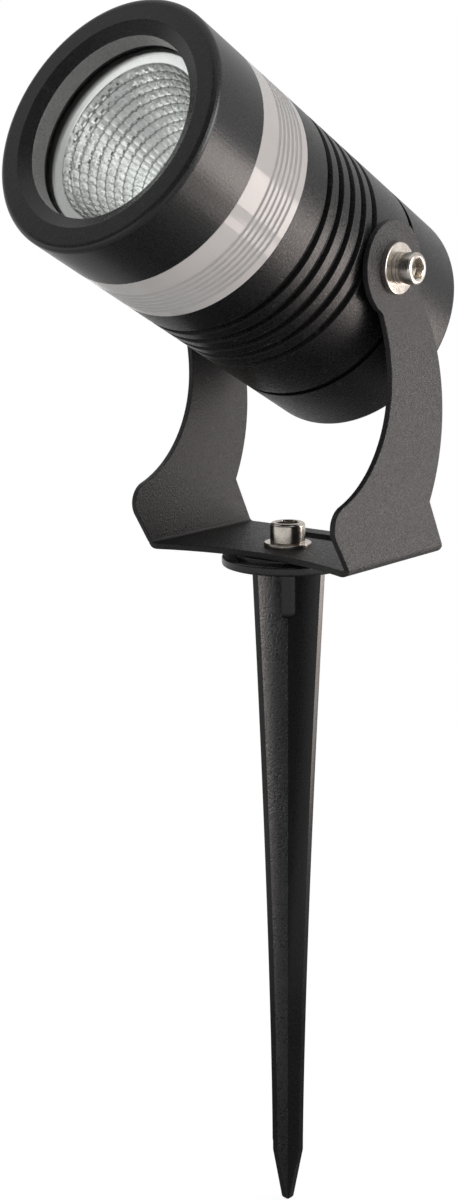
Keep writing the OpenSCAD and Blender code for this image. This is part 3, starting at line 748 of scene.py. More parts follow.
def finish(slot):
    """The material of one of the record's slots, made when it is first asked for."""
    if slot not in MADE_FINISHES:
        MADE_FINISHES[slot] = FINISHES[slot]()
    return MADE_FINISHES[slot]


class PieceMaker:
    """What the operators share."""

    bl_options = {"REGISTER", "UNDO"}

    def execute(self, context):
        """Builds the piece; a mistake raises an error."""
        self.build()
        return {"FINISHED"}


class SPOTLIGHT_OT_bezel(PieceMaker, bpy.types.Operator):
    """Builds the turned bezel round the front glass"""

    bl_idname = "spotlight.bezel"
    bl_label = "Bezel"

    def build(self):
        sizes = settings("head")
        cad, glass, gasket = span("bezel_ring"), span("front_glass"), span("glass_gasket")
        mouth, pocket, shelf = cad.outer - sizes.mouth_wall, glass.outer + 0.1 * MM, glass.low - 0.6 * MM
        outline = rounded([
            (mouth, cad.low), (cad.outer, cad.low, 0.15 * MM), (cad.outer, cad.high, sizes.face_round),
            (cad.outer - sizes.face_width, cad.high, 0.5 * MM),
            (cad.inner, cad.high - sizes.cone_depth, 0.35 * MM),
            (cad.inner, gasket.high), (pocket, gasket.high), (pocket, shelf), (mouth, shelf)], 0.12 * MM, 6)
        work = painted(turned(outline), lambda at, facing: radius(at) < cad.inner + 0.05 * MM
                       and at.z > gasket.high and abs(facing.z) < 0.5)
        piece("bezel_shell", work, "anodised_bezel", "bezel_ring", second="satin_bore")


class SPOTLIGHT_OT_front_glass(PieceMaker, bpy.types.Operator):
    """Builds the front glass and its black gasket"""

    bl_idname = "spotlight.front_glass"
    bl_label = "Front glass and gasket"

    def build(self):
        pane = rounded(section(span("front_glass")._replace(inner=0)), 0.35 * MM, 3)
        seal = rounded(section(span("glass_gasket")), 0.3 * MM)
        piece("front_pane", turned(pane), "toughened_glass", "front_glass")
        piece("pane_gasket", turned(seal), "black_rubber", "glass_gasket")


def bowl_radius(share, narrow, wide):
    """Inner radius of the reflector's bowl from its narrow end, 0, to its wide end, 1."""
    return sqrt(narrow ** 2 + (wide ** 2 - narrow ** 2) * share)


def facets(cad, wide, rim_height, fine=4):
    """The inside of the bowl: each facet is a small cushion between straight edges."""
    sizes = settings("lamp")
    rows, count = sizes.facet_rows, sizes.facet_count
    corners = [[Vector(p) for p in ring(bowl_radius(j / rows, cad.inner, wide),
                                        cad.low + (rim_height - cad.low) * j / rows, count)]
               for j in range(rows + 1)]
    work = bmesh.new()
    joint = work.verts.layers.float.new("facet_edge")
    for j in range(rows):
        for k in range(count):
            (a, b), (c, d) = ((row[k], row[(k + 1) % count]) for row in corners[j:j + 2])
            inward = (b - a).cross(c - a).normalized() * sizes.facet_crown
            grid = [[work.verts.new(a.lerp(b, u / fine).lerp(c.lerp(d, u / fine), v / fine)
                                    + inward * sin(pi * u / fine) * sin(pi * v / fine))
                     for u in range(fine + 1)] for v in range(fine + 1)]
            for u in range(fine + 1):
                for v in (0, fine):
                    grid[u][v][joint] = max(grid[u][v][joint], 0.8)
                    grid[v][u][joint] = 1
            for v in range(fine):
                for u in range(fine):
                    work.faces.new((grid[v][u], grid[v][u + 1], grid[v + 1][u + 1], grid[v + 1][u]))
    return work


class SPOTLIGHT_OT_reflector(PieceMaker, bpy.types.Operator):
    """Builds the reflector with its crowned facets and its polished lip"""

    bl_idname = "spotlight.reflector"
    bl_label = "Reflector"

    def build(self):
        sizes = settings("lamp")
        cad, lip, sheet, edge, steps = span("reflector"), sizes.lip, sizes.sheet, 0.3 * MM, 10
        lip_low = cad.high - 0.4 * lip
        rim_height = lip_low - edge
        wide = span("reflector", keep=lambda p: p.z > cad.high - 0.1 * MM
                    and radius(p) < cad.outer * 0.95).inner
        mouth = wide - 0.2 * lip
        inside = facets(cad, mouth, rim_height)
        funnel = [(mouth + lip, cad.high), (mouth + lip - edge, cad.high - 0.1 * edge),
                  (mouth + edge, lip_low), (mouth + 0.3 * edge, lip_low - 0.3 * edge), (mouth, rim_height)]
        back = [(bowl_radius(i / steps, cad.inner, wide) + sheet,
                 cad.low + (rim_height - sheet - cad.low) * (i / steps) * 0.97) for i in range(steps + 1)]
        shell = [(cad.inner, cad.low), *back, (wide + sheet * 1.5, rim_height - sheet),
                 (cad.outer, cad.high - sheet), (cad.outer, cad.high), *funnel]
        outside = loft([ring(r, h, sizes.facet_count) for r, h in shell], capped=False)
        outside.verts.layers.float.new("facet_edge")
        work = painted(clean(joined(inside, outside)), lambda at, facing: at.z > rim_height - 0.01 * MM)
        rim = {side for face in work.faces if face.material_index for side in face.edges}
        shade(work, lambda side: radians(50 if side in rim else 2.2))
        piece("reflector_bowl", work, "bright_reflector", "reflector", second="reflector_rim", even=False)


class SPOTLIGHT_OT_clear_ring(PieceMaker, bpy.types.Operator):
    """Builds the clear ring with its fine ribs"""

    bl_idname = "spotlight.clear_ring"
    bl_label = "Clear ring"

    def build(self):
        sizes, edge = settings("head"), 0.1 * MM
        cad = span("glow_ring")
        body = span("glow_ring", keep=wider(cad.outer - 0.05 * MM))
        spigot = span("glow_ring", keep=below(body.low - 0.5 * MM)).outer
        first = body.low + (body.high - body.low) * sizes.rib_start
        channels = trenches(cad.outer, [first + sizes.rib_pitch * i for i in range(sizes.rib_count)],
                            sizes.rib_depth, sizes.rib_pitch, edge,
                            ((0, -0.36), (1, -0.2), (1, 0.2), (0, 0.36)))
        outline = rounded([
            (cad.inner, cad.low), (spigot, cad.low), *grooved(spigot, span("rear_oring")), (spigot, body.low),
            (cad.outer, body.low), *channels, (cad.outer, body.high), (spigot, body.high),
            *grooved(spigot, span("front_oring")), (spigot, cad.high), (cad.inner, cad.high)], edge, 3)
        piece("clear_band", turned(outline), "clear_acrylic", "glow_ring")


class SPOTLIGHT_OT_housing(PieceMaker, bpy.types.Operator):
    """Builds the grooved housing with the flats for its pivots"""

    bl_idname = "spotlight.housing"
    bl_label = "Housing"

    def build(self):
        sizes = settings("head")
        cad, bevel = span("housing"), sizes.joint_bevel
        mouth, recess, lip = cad.outer - sizes.mouth_wall, cad.outer - bevel * 1.2, cad.low + bevel * 0.75
        floor_back, pedestal_top = span("board_spacers").high, span("led_chip").low
        lamp_floor, spigot_end = floor_back + 5 * MM, span("rear_cap").high + 0.5 * MM
        bore, pedestal = span("driver_board").outer + 0.8 * MM, span("led_holder").outer + 0.3 * MM
        first = cad.high - sizes.first_groove
        grooves = trenches(cad.outer, [first - sizes.groove_pitch * i for i in range(sizes.groove_count)],
                           sizes.groove_depth, sizes.groove_width / 2, 0.22 * MM,
                           ((0, 1), (1, 0.6), (1, -0.6), (0, -1)))
        outline = rounded([
            (mouth, lamp_floor), (mouth, cad.high), (cad.outer, cad.high, 0.2 * MM), *grooves,
            (cad.outer, lip, 0.15 * MM), (recess, lip - bevel * 0.05), (recess, cad.low), (mouth, cad.low),
            (mouth, spigot_end), (bore, spigot_end), (bore, floor_back), (0, floor_back), (0, pedestal_top),
            (pedestal, pedestal_top), (pedestal, lamp_floor)], 0.12 * MM, 4)
        washer_span = span("friction_washers", PIVOTS[0], above(0))
        shank = span("pivot_screws", PIVOTS[0], lambda p: 0 < p.z < washer_span.low)
        cutters = []
        for side in (1, -1):
            for reach, start, count in ((washer_span.outer + 0.5 * MM, washer_span.low, 64),
                                        (shank.outer + 0.05 * MM, bore - MM, 48)):
                hole = turned(section(Span(start, cad.outer + 2 * MM, 0, reach)), count)
                cutters.append(moved(hole, Matrix.Rotation(side * pi / 2, 4, "Y")))
        # The housing's faces in the joint to the rear cap get the near-black painted shade that stands in for the
        # shadow in the gap.
        work = painted(shade(carved(turned(outline), cutters)), lambda at, facing: at.z < lip
                       and mouth < radius(at) < cad.outer - 0.2 * bevel)
        piece("grooved_housing", work, "body_powder_coat", "housing", second="joint_primer")


class SPOTLIGHT_OT_rear_cap(PieceMaker, bpy.types.Operator):
    """Builds the rear cap"""

    bl_idname = "spotlight.rear_cap"
    bl_label = "Rear cap"

    def build(self):
        sizes = settings("head")
        cad, joint, bevel = span("rear_cap"), span("housing").low, sizes.joint_bevel
        recess, lip = cad.outer - bevel * 1.2, joint - bevel * 1.5
        spigot = span("rear_cap", keep=above(joint + 0.2 * MM)).outer
        hole = span("gland_body", keep=above(cad.low + 0.5 * MM)).outer + 0.1 * MM
        bore, floor = span("driver_board").outer + 0.8 * MM, cad.low + 5 * MM
        outline = rounded([
            (hole, cad.low), (cad.outer, cad.low, sizes.cap_round), (cad.outer, lip, 0.15 * MM),
            (recess, lip + bevel * 0.05), (recess, joint), (spigot, joint),
            *grooved(spigot, span("cap_oring")), (spigot, cad.high), (bore, cad.high), (bore, floor),
            (hole, floor)], 0.12 * MM, 6)
        # The rear cap's faces in the joint to the housing get the near-black painted shade that stands in for the
        # shadow in the gap.
        work = painted(turned(outline), lambda at, facing: at.z > lip
                       and radius(at) < cad.outer - 0.2 * bevel)
        piece("rear_shell", work, "body_powder_coat", "rear_cap", second="joint_primer")


class SPOTLIGHT_OT_seals(PieceMaker, bpy.types.Operator):
    """Builds the three seal rings between the shells"""

    bl_idname = "spotlight.seals"
    bl_label = "Seal rings"

    def build(self):
        for node in ("cap_oring", "front_oring", "rear_oring"):
            cad = span(node)
            bend = (cad.high - cad.low) / 2
            reach, height = cad.outer - bend, (cad.high + cad.low) / 2
            outline = [(reach + bend * cos(pi * i / 8), height + bend * sin(pi * i / 8)) for i in range(16)]
            piece(node + "_cord", turned(outline, FINE_ROUND), "black_rubber", node)


def socket_screw(head, shank, tip):
    """Socket head screw along +Z, from its head's span, its shank's radius and its tip's height."""
    shape = settings("screws")
    edge, flat = head.outer * shape.edge_share, head.outer * shape.socket_share
    corner, lead, fine = flat / cos(pi / 6), 0.12 * head.outer, 0.05 * MM
    bottom = head.high - (head.high - head.low) * shape.socket_depth_share
    sunk = head.high - (corner - flat) * 0.7
    crown = [(head.outer - edge + edge * cos(bend), head.high - edge + edge * sin(bend))
             for bend in (pi / 2 * step / 5 for step in range(1, 6))]
    return lathed([
        (shank - 2 * lead, tip), (shank, tip + 2 * lead), (shank, head.low),
        (head.outer - fine * 3, head.low), (head.outer, head.low + fine * 3),
        (head.outer, head.high - edge), *crown,
        (corner + fine * 2, head.high), (corner - fine, head.high - fine),
        (polygon(6, flat, corner - fine * 2), sunk), (polygon(6, flat), sunk - lead / 2),
        (polygon(6, flat), bottom), (flat * 0.24, bottom - lead)], 28)


def washer(cad, edge=0.15 * MM):
    """Flat washer, rounded by the punch on its upper edges."""
    corners = [(*corner, bend) for corner, bend in zip(section(cad), (edge / 2, edge / 2, edge * 2, edge))]
    return shade(turned(rounded(corners, edge), FINE_ROUND))


def spring_washer(cad):
    """Split ring that rises a little from one end to the other."""
    rise, gap, count = 0.18 * (cad.high - cad.low), radians(9), 72
    flat = rounded(section(cad._replace(low=0, high=cad.high - cad.low - rise)), 0.12 * MM, 3)
    rings = []
    for share in (k / count for k in range(count + 1)):
        angle = pi / 2 + gap / 2 + (2 * pi - gap) * share
        rings.append([(r * cos(angle), r * sin(angle), cad.low + rise * share + h) for r, h in flat])
    return shade(clean(loft(rings)))


class SPOTLIGHT_OT_pivots(PieceMaker, bpy.types.Operator):
    """Builds the pivot screws with their spring washers, flat washers and friction washers"""

    bl_idname = "spotlight.pivots"
    bl_label = "Pivot screws and washers"

    def build(self):
        whole = span("pivot_screws", PIVOTS[0], above(0))
        head = span("pivot_screws", PIVOTS[0], lambda p: p.z > 0 and radius(p) > whole.outer * 0.8)
        shank = span("pivot_screws", PIVOTS[0], lambda p: 0 < p.z < head.low - 0.1 * MM)
        for label, place in zip(("right", "left"), PIVOTS):
            screw = socket_screw(head, shank.outer, whole.low)
            piece(f"pivot_screw_{label}", screw, "stainless_steel", "pivot_screws", place=place)
            for name, shape, slot, node in (
                    ("pivot_spring", spring_washer, "spring_steel", "pivot_spring_washers"),
                    ("pivot_washer", washer, "stainless_steel", "pivot_washers"),
                    ("friction_washer", washer, "nylon_washer", "friction_washers")):
                piece(f"{name}_{label}", shape(span(node, PIVOTS[0], above(0))), slot, node, place=place)


class SPOTLIGHT_OT_lamp(PieceMaker, bpy.types.Operator):
    """Builds the chip holder, its screws, the lamp chip and its yellow field"""

    bl_idname = "spotlight.lamp"
    bl_label = "Lamp"

    def build(self):
        holder, chip, field = span("led_holder"), span("led_chip"), span("led_phosphor")
        low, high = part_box("led_chip")
        chip_half = (high.x - low.x) / 2
        step, throat, recess = 0.8 * MM, holder.inner + 0.1 * MM, holder.low + 1.1 * MM
        outline = rounded([
            (throat, recess), (throat, holder.high - step), (holder.inner + step, holder.high, 0.3 * MM),
            (holder.outer - step, holder.high, 0.4 * MM), (holder.outer, holder.high - step, 0.3 * MM),
            (holder.outer, holder.low), (chip_half * 1.45, holder.low), (chip_half * 1.45, recess)],
            0.1 * MM, 4)
        places = self.screw_places()
        near = span("holder_screws", places[0], lambda p: radius(p) < 5 * MM)
        screw = span("holder_screws", places[0], lambda p: near.outer * 0.8 < radius(p) < 5 * MM)
        hole = section(Span(holder.low - MM, holder.high + MM, 0, (screw.outer + 0.1 * MM) * 0.62))
        cutters = [moved(turned(hole, 48), HEAD.inverted() @ place) for place in places]
        piece("chip_holder", shade(carved(turned(outline), cutters)), "white_plastic", "led_holder")
        square = polygon(4, chip_half, chip_half * 1.38)
        piece("lamp_chip", lathed([(square, chip.low), (square, chip.high)], 38), "chip_ceramic", "led_chip")
        dome = [(field.outer * cos(a), field.low + (field.high - field.low) * sin(a) ** 0.6)
                for a in (pi / 2 * i / 8 for i in range(1, 8))]
        cushion = turned([(field.outer, field.low), *dome, (0, field.high), (0, field.low)], FINE_ROUND)
        piece("lamp_field", cushion, "yellow_phosphor", "led_phosphor")
        for label, place in zip(("upper", "lower"), places):
            piece(f"holder_screw_{label}", socket_screw(screw, screw.outer / 1.8, screw.low - 5 * MM),
                  "stainless_steel", "holder_screws", place=place)

    def screw_places(self):
        """Places of the two holder screws, above and below the head's axis."""
        back = HEAD.inverted()
        heights = [(back @ v.co).y for v in frame["nodes"]["holder_screws"].data.vertices]
        halves = [y for y in heights if y > 0], [y for y in heights if y < 0]
        return [HEAD @ Matrix.Translation((0, (min(half) + max(half)) / 2, 0)) for half in halves]


class SPOTLIGHT_OT_gland(PieceMaker, bpy.types.Operator):
    """Builds the cable gland: washer, hexagon, locknut, bush and gripped nut"""

    bl_idname = "spotlight.gland"
    bl_label = "Cable gland"

    def build(self):
        seal, body, lock = span("gland_washer"), span("gland_body"), span("gland_locknut")
        bush, nut, edge = span("gland_bush"), span("gland_nut"), 0.5 * MM
        piece("gland_seal", washer(seal), "black_rubber", "gland_washer")
        hexed = span("gland_body", keep=wider(body.outer * 0.98))
        stem = span("gland_body", keep=above(hexed.high + 0.5 * MM)).outer
        flats, bevelled = self.hexagons(body.outer, edge)
        profile = [(body.inner, body.low), (stem, body.low), (stem, hexed.low), (bevelled, hexed.low),
                   (flats, hexed.low + edge), (flats, hexed.high), (stem, hexed.high), (stem, body.high),
                   (body.inner, body.high)]
        piece("gland_stem", lathed(profile, 25, loop=True), "black_nylon", "gland_body")
        flats, bevelled = self.hexagons(lock.outer, edge)
        profile = [(lock.inner, lock.low), (bevelled, lock.low), (flats, lock.low + edge),
                   (flats, lock.high - edge), (bevelled, lock.high), (lock.inner, lock.high)]
        piece("gland_locknut_hex", lathed(profile, 25, loop=True), "brass_insert", "gland_locknut")
        cushion = turned(rounded(section(bush), 0.25 * MM), FINE_ROUND)
        piece("gland_bush_ring", cushion, "black_rubber", "gland_bush")
        self.nut(nut, bush)

    def hexagons(self, corner, edge):
        """Radii of a hexagon, by its corners, and of its bevelled end."""
        half = corner * cos(pi / 6)
        return polygon(6, half), polygon(6, half, corner - edge)

    def nut(self, cad, bush, ribs=16, depth=0.35 * MM):
        """The nut has a domed end and grip ribs round its side."""
        def gripped(angle):
            return cad.outer - depth * (0.5 - 0.5 * cos(ribs * angle)) ** 3

        cavity, bevel = bush.outer + 0.05 * MM, 0.3 * MM
        start = span("gland_nut", keep=below(cad.low + bevel)).outer - MM
        shoulder = (cad.low + cad.high) / 2
        dome = [(start + (cad.outer - depth - start) * sin(bend),
                 shoulder - (shoulder - cad.low) * cos(bend) - bevel * sin(bend))
                for bend in (pi / 2 * step / 6 for step in range(1, 7))]
        profile = [(cad.inner, cad.low + 0.2 * MM), (cad.inner + 0.2 * MM, cad.low), (start, cad.low), *dome,
                   (gripped, shoulder + bevel), (gripped, cad.high - bevel), (cad.outer - depth, cad.high),
                   (cavity, cad.high), (cavity, bush.low), (cad.inner, bush.low)]
        work = loft([ring(r, h, ribs * 12) for r, h in profile], loop=True)
        piece("gland_grip_nut", shade(clean(work)), "black_nylon", "gland_nut")


class SPOTLIGHT_OT_driver(PieceMaker, bpy.types.Operator):
    """Gives the driver's own parts, sealed in the housing, and the spike's insert their finishes"""

    bl_idname = "spotlight.driver"
    bl_label = "Driver"

    def build(self):
        slots = {part["node"]: part["material_slot"] for part in frame["record"]["subparts"]}
        for node in ("driver_board", "board_spacers", "board_screws", "driver_coil", "driver_capacitor",
                     "terminal_block", "spike_insert"):
            materials = frame["nodes"][node].data.materials
            materials.clear()
            materials.append(finish(slots[node]))


class SPOTLIGHT_OT_yoke(PieceMaker, bpy.types.Operator):
    """Builds the folded yoke with coated, rounded edges"""

    bl_idname = "spotlight.yoke"
    bl_label = "Yoke"

    def build(self):
        bend = settings("yoke").edge_round
        work = bmesh.new()
        work.from_mesh(frame["nodes"]["yoke_bracket"].data)
        bmesh.ops.remove_doubles(work, verts=work.verts, dist=1e-6)
        bmesh.ops.dissolve_limit(work, angle_limit=radians(0.6), verts=work.verts, edges=work.edges)
        bmesh.ops.remove_doubles(work, verts=work.verts, dist=bend)
        bmesh.ops.recalc_face_normals(work, faces=work.faces)
        cut_edges = [e for e in work.edges if len(e.link_faces) == 2 and e.calc_face_angle() > radians(50)]
        bmesh.ops.bevel(work, geom=cut_edges, offset=bend, segments=3, profile=0.5, affect="EDGES",
                        clamp_overlap=False, harden_normals=False)
        bmesh.ops.triangulate(work, faces=[f for f in work.faces if len(f.verts) > 4])
        piece("folded_yoke", shade(work), "yoke_powder_coat", "yoke_bracket", YOKE_BODY, UPRIGHT)


class SPOTLIGHT_OT_base_screw(PieceMaker, bpy.types.Operator):
    """Builds the base screw and its washer"""

    bl_idname = "spotlight.base_screw"
    bl_label = "Base screw"

    def build(self):
        whole = span("base_screw", UPRIGHT)
        head = span("base_screw", UPRIGHT, wider(whole.outer * 0.8))
        shank = span("base_screw", UPRIGHT, below(head.low - 0.1 * MM))
        piece("base_screw_body", socket_screw(head, shank.outer, whole.low), "stainless_steel", "base_screw",
              SPIKE_BODY, UPRIGHT)
        piece("base_washer_disc", washer(span("base_washer", UPRIGHT)), "stainless_steel", "base_washer",
              SPIKE_BODY, UPRIGHT)


def fin_reach(height, low):
    """Reach of a fin at a height below the flange."""
    sizes = settings("spike")
    share = -height / (-low - sizes.point_length)
    if share <= 1:
        bow = (1 - max(share, 0)) ** sizes.taper_power
        return sizes.end_reach + (sizes.top_reach - sizes.end_reach) * bow
    tip = sizes.fin_thickness * 0.7
    straight = tip * 0.9 + (sizes.end_reach - tip * 0.9) * (height - low) / sizes.point_length
    nose = sqrt(max(0, 1 - (1 - (height - low) / tip) ** 2)) if height - low < tip else 1
    return straight * max(nose, 0.15)


def flank(start, half, room, steps=6):
    """One side of a fin, hollow, from its rounded edge to the valley between two fins."""
    valley = half + min(settings("spike").root_growth, room * 0.2)
    return [(start + (valley - start) * i / steps, half + (valley - half) * (i / steps) ** 2)
            for i in range(1, steps + 1)]


def fin_edge(x, y, corner, steps=3):
    """Rounded corner of a fin's end that reaches to x and y."""
    turns = [pi / 2 * i / steps for i in range(steps + 1)]
    return [(x - corner + corner * cos(turn), y - corner + corner * sin(turn)) for turn in turns]


def cross(height, low):
    """Section across the four fins, with rounded ends and hollow sides."""
    sizes, reach = settings("spike"), fin_reach(height, low)
    half = min(sizes.fin_thickness / 2, reach * 0.72)
    room = reach - half
    corner = min(sizes.corner_round, room * 0.45, half * 0.9)
    side = flank(reach - corner, half, room)
    quarter = [(reach, 0), *fin_edge(reach, half, corner), *side, *[(y, x) for x, y in reversed(side[:-1])],
               *fin_edge(half, reach, corner)]
    return [(x * c - y * s, x * s + y * c, height) for c, s in ((1, 0), (0, 1), (-1, 0), (0, -1))
            for x, y in quarter]


def blade(height, low, root):
    """Section across one fin beside the boss."""
    sizes, reach = settings("spike"), fin_reach(height, low)
    half, corner = sizes.fin_thickness / 2, sizes.corner_round
    side = [point for point in flank(reach - corner, half, reach - half) if point[0] > root]
    upper = [*fin_edge(reach, half, corner), *side]
    upper.append((root, upper[-1][1]))
    return [(x, y, height) for x, y in upper + [(x, -y) for x, y in reversed(upper)]]


def flange(cad):
    """Flange, raised seat, boss and the blind hole for the threaded insert."""
    sizes = settings("spike")
    top = span("spike", UPRIGHT, above(cad.high - 0.01 * MM))
    rim = span("spike", UPRIGHT, wider(top.outer + MM))
    insert, bore_end = span("spike_insert", UPRIGHT), span("base_screw", UPRIGHT).low - 0.5 * MM
    boss, edge = sizes.boss_radius, 0.8 * MM
    return turned(rounded([
        (0, -sizes.boss_depth), (boss, -sizes.boss_depth, 2 * MM), (boss, 0, 0.6 * MM), (cad.outer, 0, edge),
        (cad.outer, rim.high, edge * 0.7), (top.outer, rim.high, 0.2 * MM), (top.outer, cad.high, 0.2 * MM),
        (top.inner, cad.high), (top.inner, insert.low), (insert.inner, insert.low), (insert.inner, bore_end),
        (0, bore_end)], 0.1 * MM, 5))


class SPOTLIGHT_OT_spike(PieceMaker, bpy.types.Operator):
    """Builds the moulded spike: flange, boss, four fins and point"""

    bl_idname = "spotlight.spike"
    bl_label = "Spike"

    def build(self):
        sizes = settings("spike")
        cad = span("spike", UPRIGHT)
        split, tip_start = 1.8 * MM - sizes.boss_depth, cad.low + sizes.point_length
        levels = [split + (tip_start - split) * i / 40 for i in range(41)]
        levels += [tip_start + (cad.low + 0.2 * MM - tip_start) * i / 14 for i in range(1, 12)]
        levels += [cad.low + sizes.fin_thickness * share for share in (0.75, 0.5, 0.3, 0.15, 0.06, 0)]
        levels = sorted(set(levels), reverse=True)
        parts = [flange(cad), clean(loft([cross(h, cad.low) for h in levels]))]
        upper = [0.6 * MM + (split - 0.6 * MM) * i / 6 for i in range(7)]
        for k in range(4):
            fin = clean(loft([blade(h, cad.low, sizes.boss_radius - 0.5 * MM) for h in upper]))
            parts.append(moved(fin, Matrix.Rotation(k * pi / 2, 4, "Z")))
        boss = sizes.boss_radius + 0.1 * MM
        work = painted(joined(*parts), lambda at, facing: at.z < 0 and abs(facing.x) > 0.6
                       and abs(at.x) < 2 * sizes.fin_thickness
                       and (radius(at) > boss or at.z < -sizes.boss_depth))
        work = shade(moved(work, Matrix.Rotation(sizes.fin_turn, 4, "Z")), radians(30))
        piece("ground_spike_body", work, "spike_plastic", "spike", SPIKE_BODY, UPRIGHT, "pebbled_plastic")


Lamp = namedtuple("Lamp", "place target width height")
WARM_WHITE = (1.0, 0.885, 0.835)
KEY_LIGHT = Lamp((0.2997, 0.2232, -0.0140), (0.0027, -0.0178, 0.0880), 0.17, 0.187)
LOW_LIGHT = Lamp((0.2706, 0.1996, -0.1545), (-0.0264, -0.0414, -0.0525), 0.17, 0.105)
FLOOR_HALF, FLOOR_WHITE = 6.0, 0.892
DARK_FRONT, DARK_FRONT_EDGE = radians(5), (cos(radians(71)), cos(radians(65.5)))
SIDE_BOX, SIDE_BOX_RISE, SIDE_BOX_EDGE = radians(98), 0.12, (cos(radians(33)), cos(radians(20)))
CAMERA_PLACE, CAMERA_FORWARD = (0.3072, -0.4046, 0.1035), (-0.6161, 0.7565, -0.2194)
CAMERA_RIGHT = (0.7764, 0.6303, -0.0072)


def glow(tree, kind, strength, colour=WHITE):
    """Adds an Emission or Background shader and gives its result."""
    return put(tree, kind, {"Color": colour, "Strength": strength}).outputs[0]


def mixed(tree, share, first, second):
    """Mixes two shaders and gives the result."""
    return put(tree, "MixShader", {0: share, 1: first, 2: second}).outputs[0]


def dot(tree, direction, azimuth, rise=0.0):
    """How far a direction points to an azimuth, from -Y towards +X."""
    towards = (sin(azimuth), -cos(azimuth), rise)
    return put(tree, "VectorMath", {0: direction, 1: towards}, operation="DOT_PRODUCT").outputs["Value"]


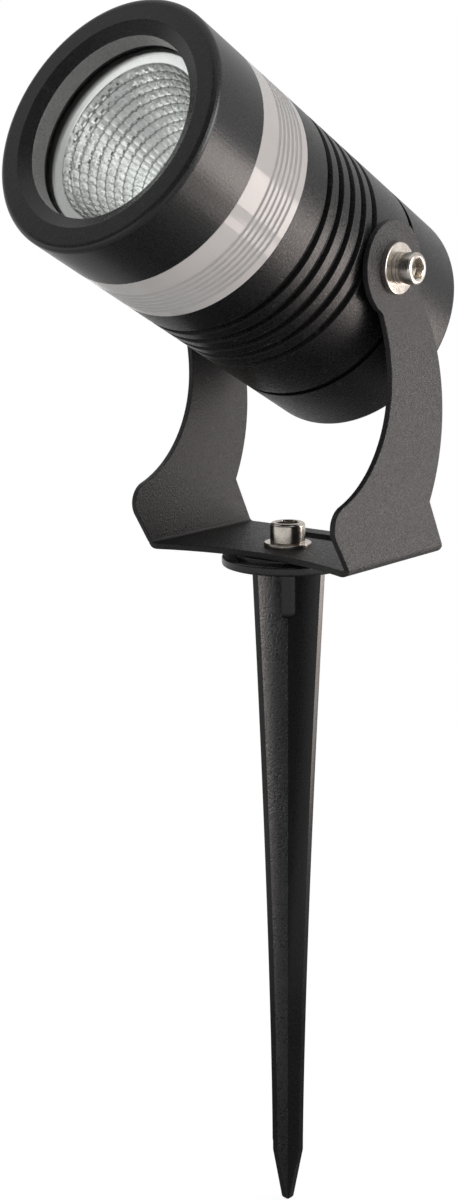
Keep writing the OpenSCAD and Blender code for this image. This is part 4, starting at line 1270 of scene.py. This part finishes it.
class SPOTLIGHT_OT_stage(PieceMaker, bpy.types.Operator):
    """Sets up the floor, the soft lights, the studio walls and the camera"""

    bl_idname = "spotlight.stage"
    bl_label = "Studio and camera"

    def build(self):
        bpy.context.scene.view_settings.view_transform = "Standard"
        sizes = settings("stage")
        self.floor(sizes.bounce)
        self.walls(sizes)
        self.lamp("key_light", KEY_LIGHT, sizes.key_radiance)
        self.lamp("low_light", LOW_LIGHT, sizes.low_radiance)
        self.camera(sizes.pixel_lens)

    def floor(self, bounce):
        """Pale floor under the point: white to the camera, with its shadow; in shiny surfaces it glows, with a
        painted shadow that darkens it near the object.
        """
        mesh = bpy.data.meshes.new("floor")
        corners = [(x * FLOOR_HALF, y * FLOOR_HALF, 0) for x, y in ((-1, -1), (1, -1), (1, 1), (-1, 1))]
        mesh.from_pydata(corners, [], [(0, 1, 2, 3)])
        made = bpy.data.objects.new("floor", mesh)
        made.location.z = CAD_BOX[0].z
        bpy.context.scene.collection.objects.link(made)
        material = bpy.data.materials.new("pale_floor")
        material.use_nodes = True
        tree = material.node_tree
        tree.nodes.clear()
        matt = put(tree, "BsdfDiffuse", {"Color": (0.25, 0.25, 0.25, 1)}).outputs[0]
        away = put(tree, "VectorMath", {0: own_place(tree)}, operation="LENGTH").outputs["Value"]
        # Painted shadow: the floor's glow in shiny surfaces is dimmer near the object and brighter far from it,
        # standing in for the object's shadow on the floor.
        near, far = ramped(tree, away, 0.10, 0.25, 0.10, 0.42), ramped(tree, away, 0.3, 1.6, 0.0, 0.48)
        shine = glow(tree, "Emission", maths(tree, "ADD", near, far))
        white, soft = (put(tree, "AddShader", {0: matt, 1: glow(tree, "Emission", level)}).outputs[0]
                       for level in (FLOOR_WHITE, bounce))
        seen = put(tree, "LightPath").outputs
        direct = maths(tree, "MAXIMUM", seen["Is Camera Ray"], seen["Is Transmission Ray"])
        mirrored = mixed(tree, seen["Is Glossy Ray"], soft, shine)
        put(tree, "OutputMaterial", {0: mixed(tree, direct, mirrored, white)})
        mesh.materials.append(material)

    def walls(self, sizes):
        """White walls for camera, metal and glass, with a darker front, and dimmer ones for matt surfaces."""
        scene = bpy.context.scene
        scene.world = scene.world or bpy.data.worlds.new("studio")
        scene.world.use_nodes = True
        tree = scene.world.node_tree
        tree.nodes.clear()
        direction = put(tree, "TexCoord").outputs["Generated"]
        wall = ramped(tree, dot(tree, direction, DARK_FRONT), *DARK_FRONT_EDGE, 0.68, 0.18)
        box = ramped(tree, dot(tree, direction, SIDE_BOX, SIDE_BOX_RISE), *SIDE_BOX_EDGE, 0.0,
                     sizes.side_radiance)
        shine = glow(tree, "Background", maths(tree, "ADD", wall, box))
        height = put(tree, "SeparateXYZ", {0: direction}).outputs[2]
        inside = glow(tree, "Background", ramped(tree, height, -0.1, 0.85, 1.5, 0.55), (0.985, 0.99, 1.0, 1))
        white, soft = glow(tree, "Background", 1.0), glow(tree, "Background", sizes.ambient)
        seen = put(tree, "LightPath").outputs
        direct = maths(tree, "MAXIMUM", seen["Is Camera Ray"], seen["Is Transmission Ray"])
        lit = mixed(tree, seen["Is Glossy Ray"], soft, shine)
        mirrored = maths(tree, "GREATER_THAN", seen["Glossy Depth"], 0.5)
        behind_glass = maths(tree, "MULTIPLY", seen["Is Transmission Ray"], mirrored)
        clear = mixed(tree, behind_glass, white, inside)
        put(tree, "OutputWorld", {0: mixed(tree, direct, lit, clear)})

    def lamp(self, name, spec, radiance):
        """A soft rectangular light of a radiance, where white is 1."""
        data = bpy.data.lights.new(name, "AREA")
        data.shape, data.size, data.size_y = "RECTANGLE", spec.width, spec.height
        data.energy, data.color = radiance * pi * spec.width * spec.height, WARM_WHITE
        made = bpy.data.objects.new(name, data)
        bpy.context.scene.collection.objects.link(made)
        made.location = spec.place
        made.rotation_mode = "QUATERNION"
        made.rotation_quaternion = (Vector(spec.target) - made.location).to_track_quat("-Z", "Z")
        made.visible_camera = False

    def camera(self, pixel_lens):
        """The photograph's viewpoint: it looks along an azimuth, down a little, with its long lens."""
        data = bpy.data.cameras.new("camera")
        data.sensor_width = 36.0
        data.lens = data.sensor_width * pixel_lens
        data.clip_start, data.clip_end = 0.01, 30.0
        made = bpy.data.objects.new("camera", data)
        bpy.context.scene.collection.objects.link(made)
        forward, right = Vector(CAMERA_FORWARD).normalized(), Vector(CAMERA_RIGHT)
        right = (right - forward * right.dot(forward)).normalized()
        turn = Matrix((right, right.cross(forward), -forward)).transposed().to_4x4()
        made.matrix_world = Matrix.Translation(CAMERA_PLACE) @ turn
        bpy.context.scene.camera = made


GROUPS = {"head": HeadSettings, "lamp": LampSettings, "screws": ScrewSettings, "yoke": YokeSettings,
          "spike": SpikeSettings, "finishes": FinishSettings, "stage": StageSettings}
MAKERS = (SPOTLIGHT_OT_stage, SPOTLIGHT_OT_bezel, SPOTLIGHT_OT_front_glass, SPOTLIGHT_OT_reflector,
          SPOTLIGHT_OT_lamp, SPOTLIGHT_OT_clear_ring, SPOTLIGHT_OT_housing, SPOTLIGHT_OT_rear_cap,
          SPOTLIGHT_OT_seals, SPOTLIGHT_OT_driver, SPOTLIGHT_OT_gland, SPOTLIGHT_OT_pivots, SPOTLIGHT_OT_yoke,
          SPOTLIGHT_OT_base_screw, SPOTLIGHT_OT_spike)


class SPOTLIGHT_PT_pieces(bpy.types.Panel):
    """Lists the spotlight's pieces, sizes and finishes in the sidebar"""

    bl_label = "Spotlight"
    bl_space_type = "VIEW_3D"
    bl_region_type = "UI"
    bl_category = "Spotlight"

    def draw(self, context):
        for label, group in GROUPS.items():
            box = self.layout.box()
            box.label(text=label.capitalize())
            for name in group.__annotations__:
                box.prop(getattr(context.scene, "spotlight_" + label), name)
        for maker in MAKERS:
            self.layout.operator(maker.bl_idname)


def register():
    for label, group in GROUPS.items():
        bpy.utils.register_class(group)
        setattr(bpy.types.Scene, "spotlight_" + label, bpy.props.PointerProperty(type=group))
    for maker in (*MAKERS, SPOTLIGHT_PT_pieces):
        bpy.utils.register_class(maker)


def unregister():
    for maker in (SPOTLIGHT_PT_pieces, *reversed(MAKERS)):
        bpy.utils.unregister_class(maker)
    for label, group in GROUPS.items():
        delattr(bpy.types.Scene, "spotlight_" + label)
        bpy.utils.unregister_class(group)


def main():
    """Registers the pieces and builds them in order."""
    register()
    for maker in MAKERS:
        getattr(bpy.ops.spotlight, maker.bl_idname.split(".")[1])()


if __name__ == "__main__":
    main()
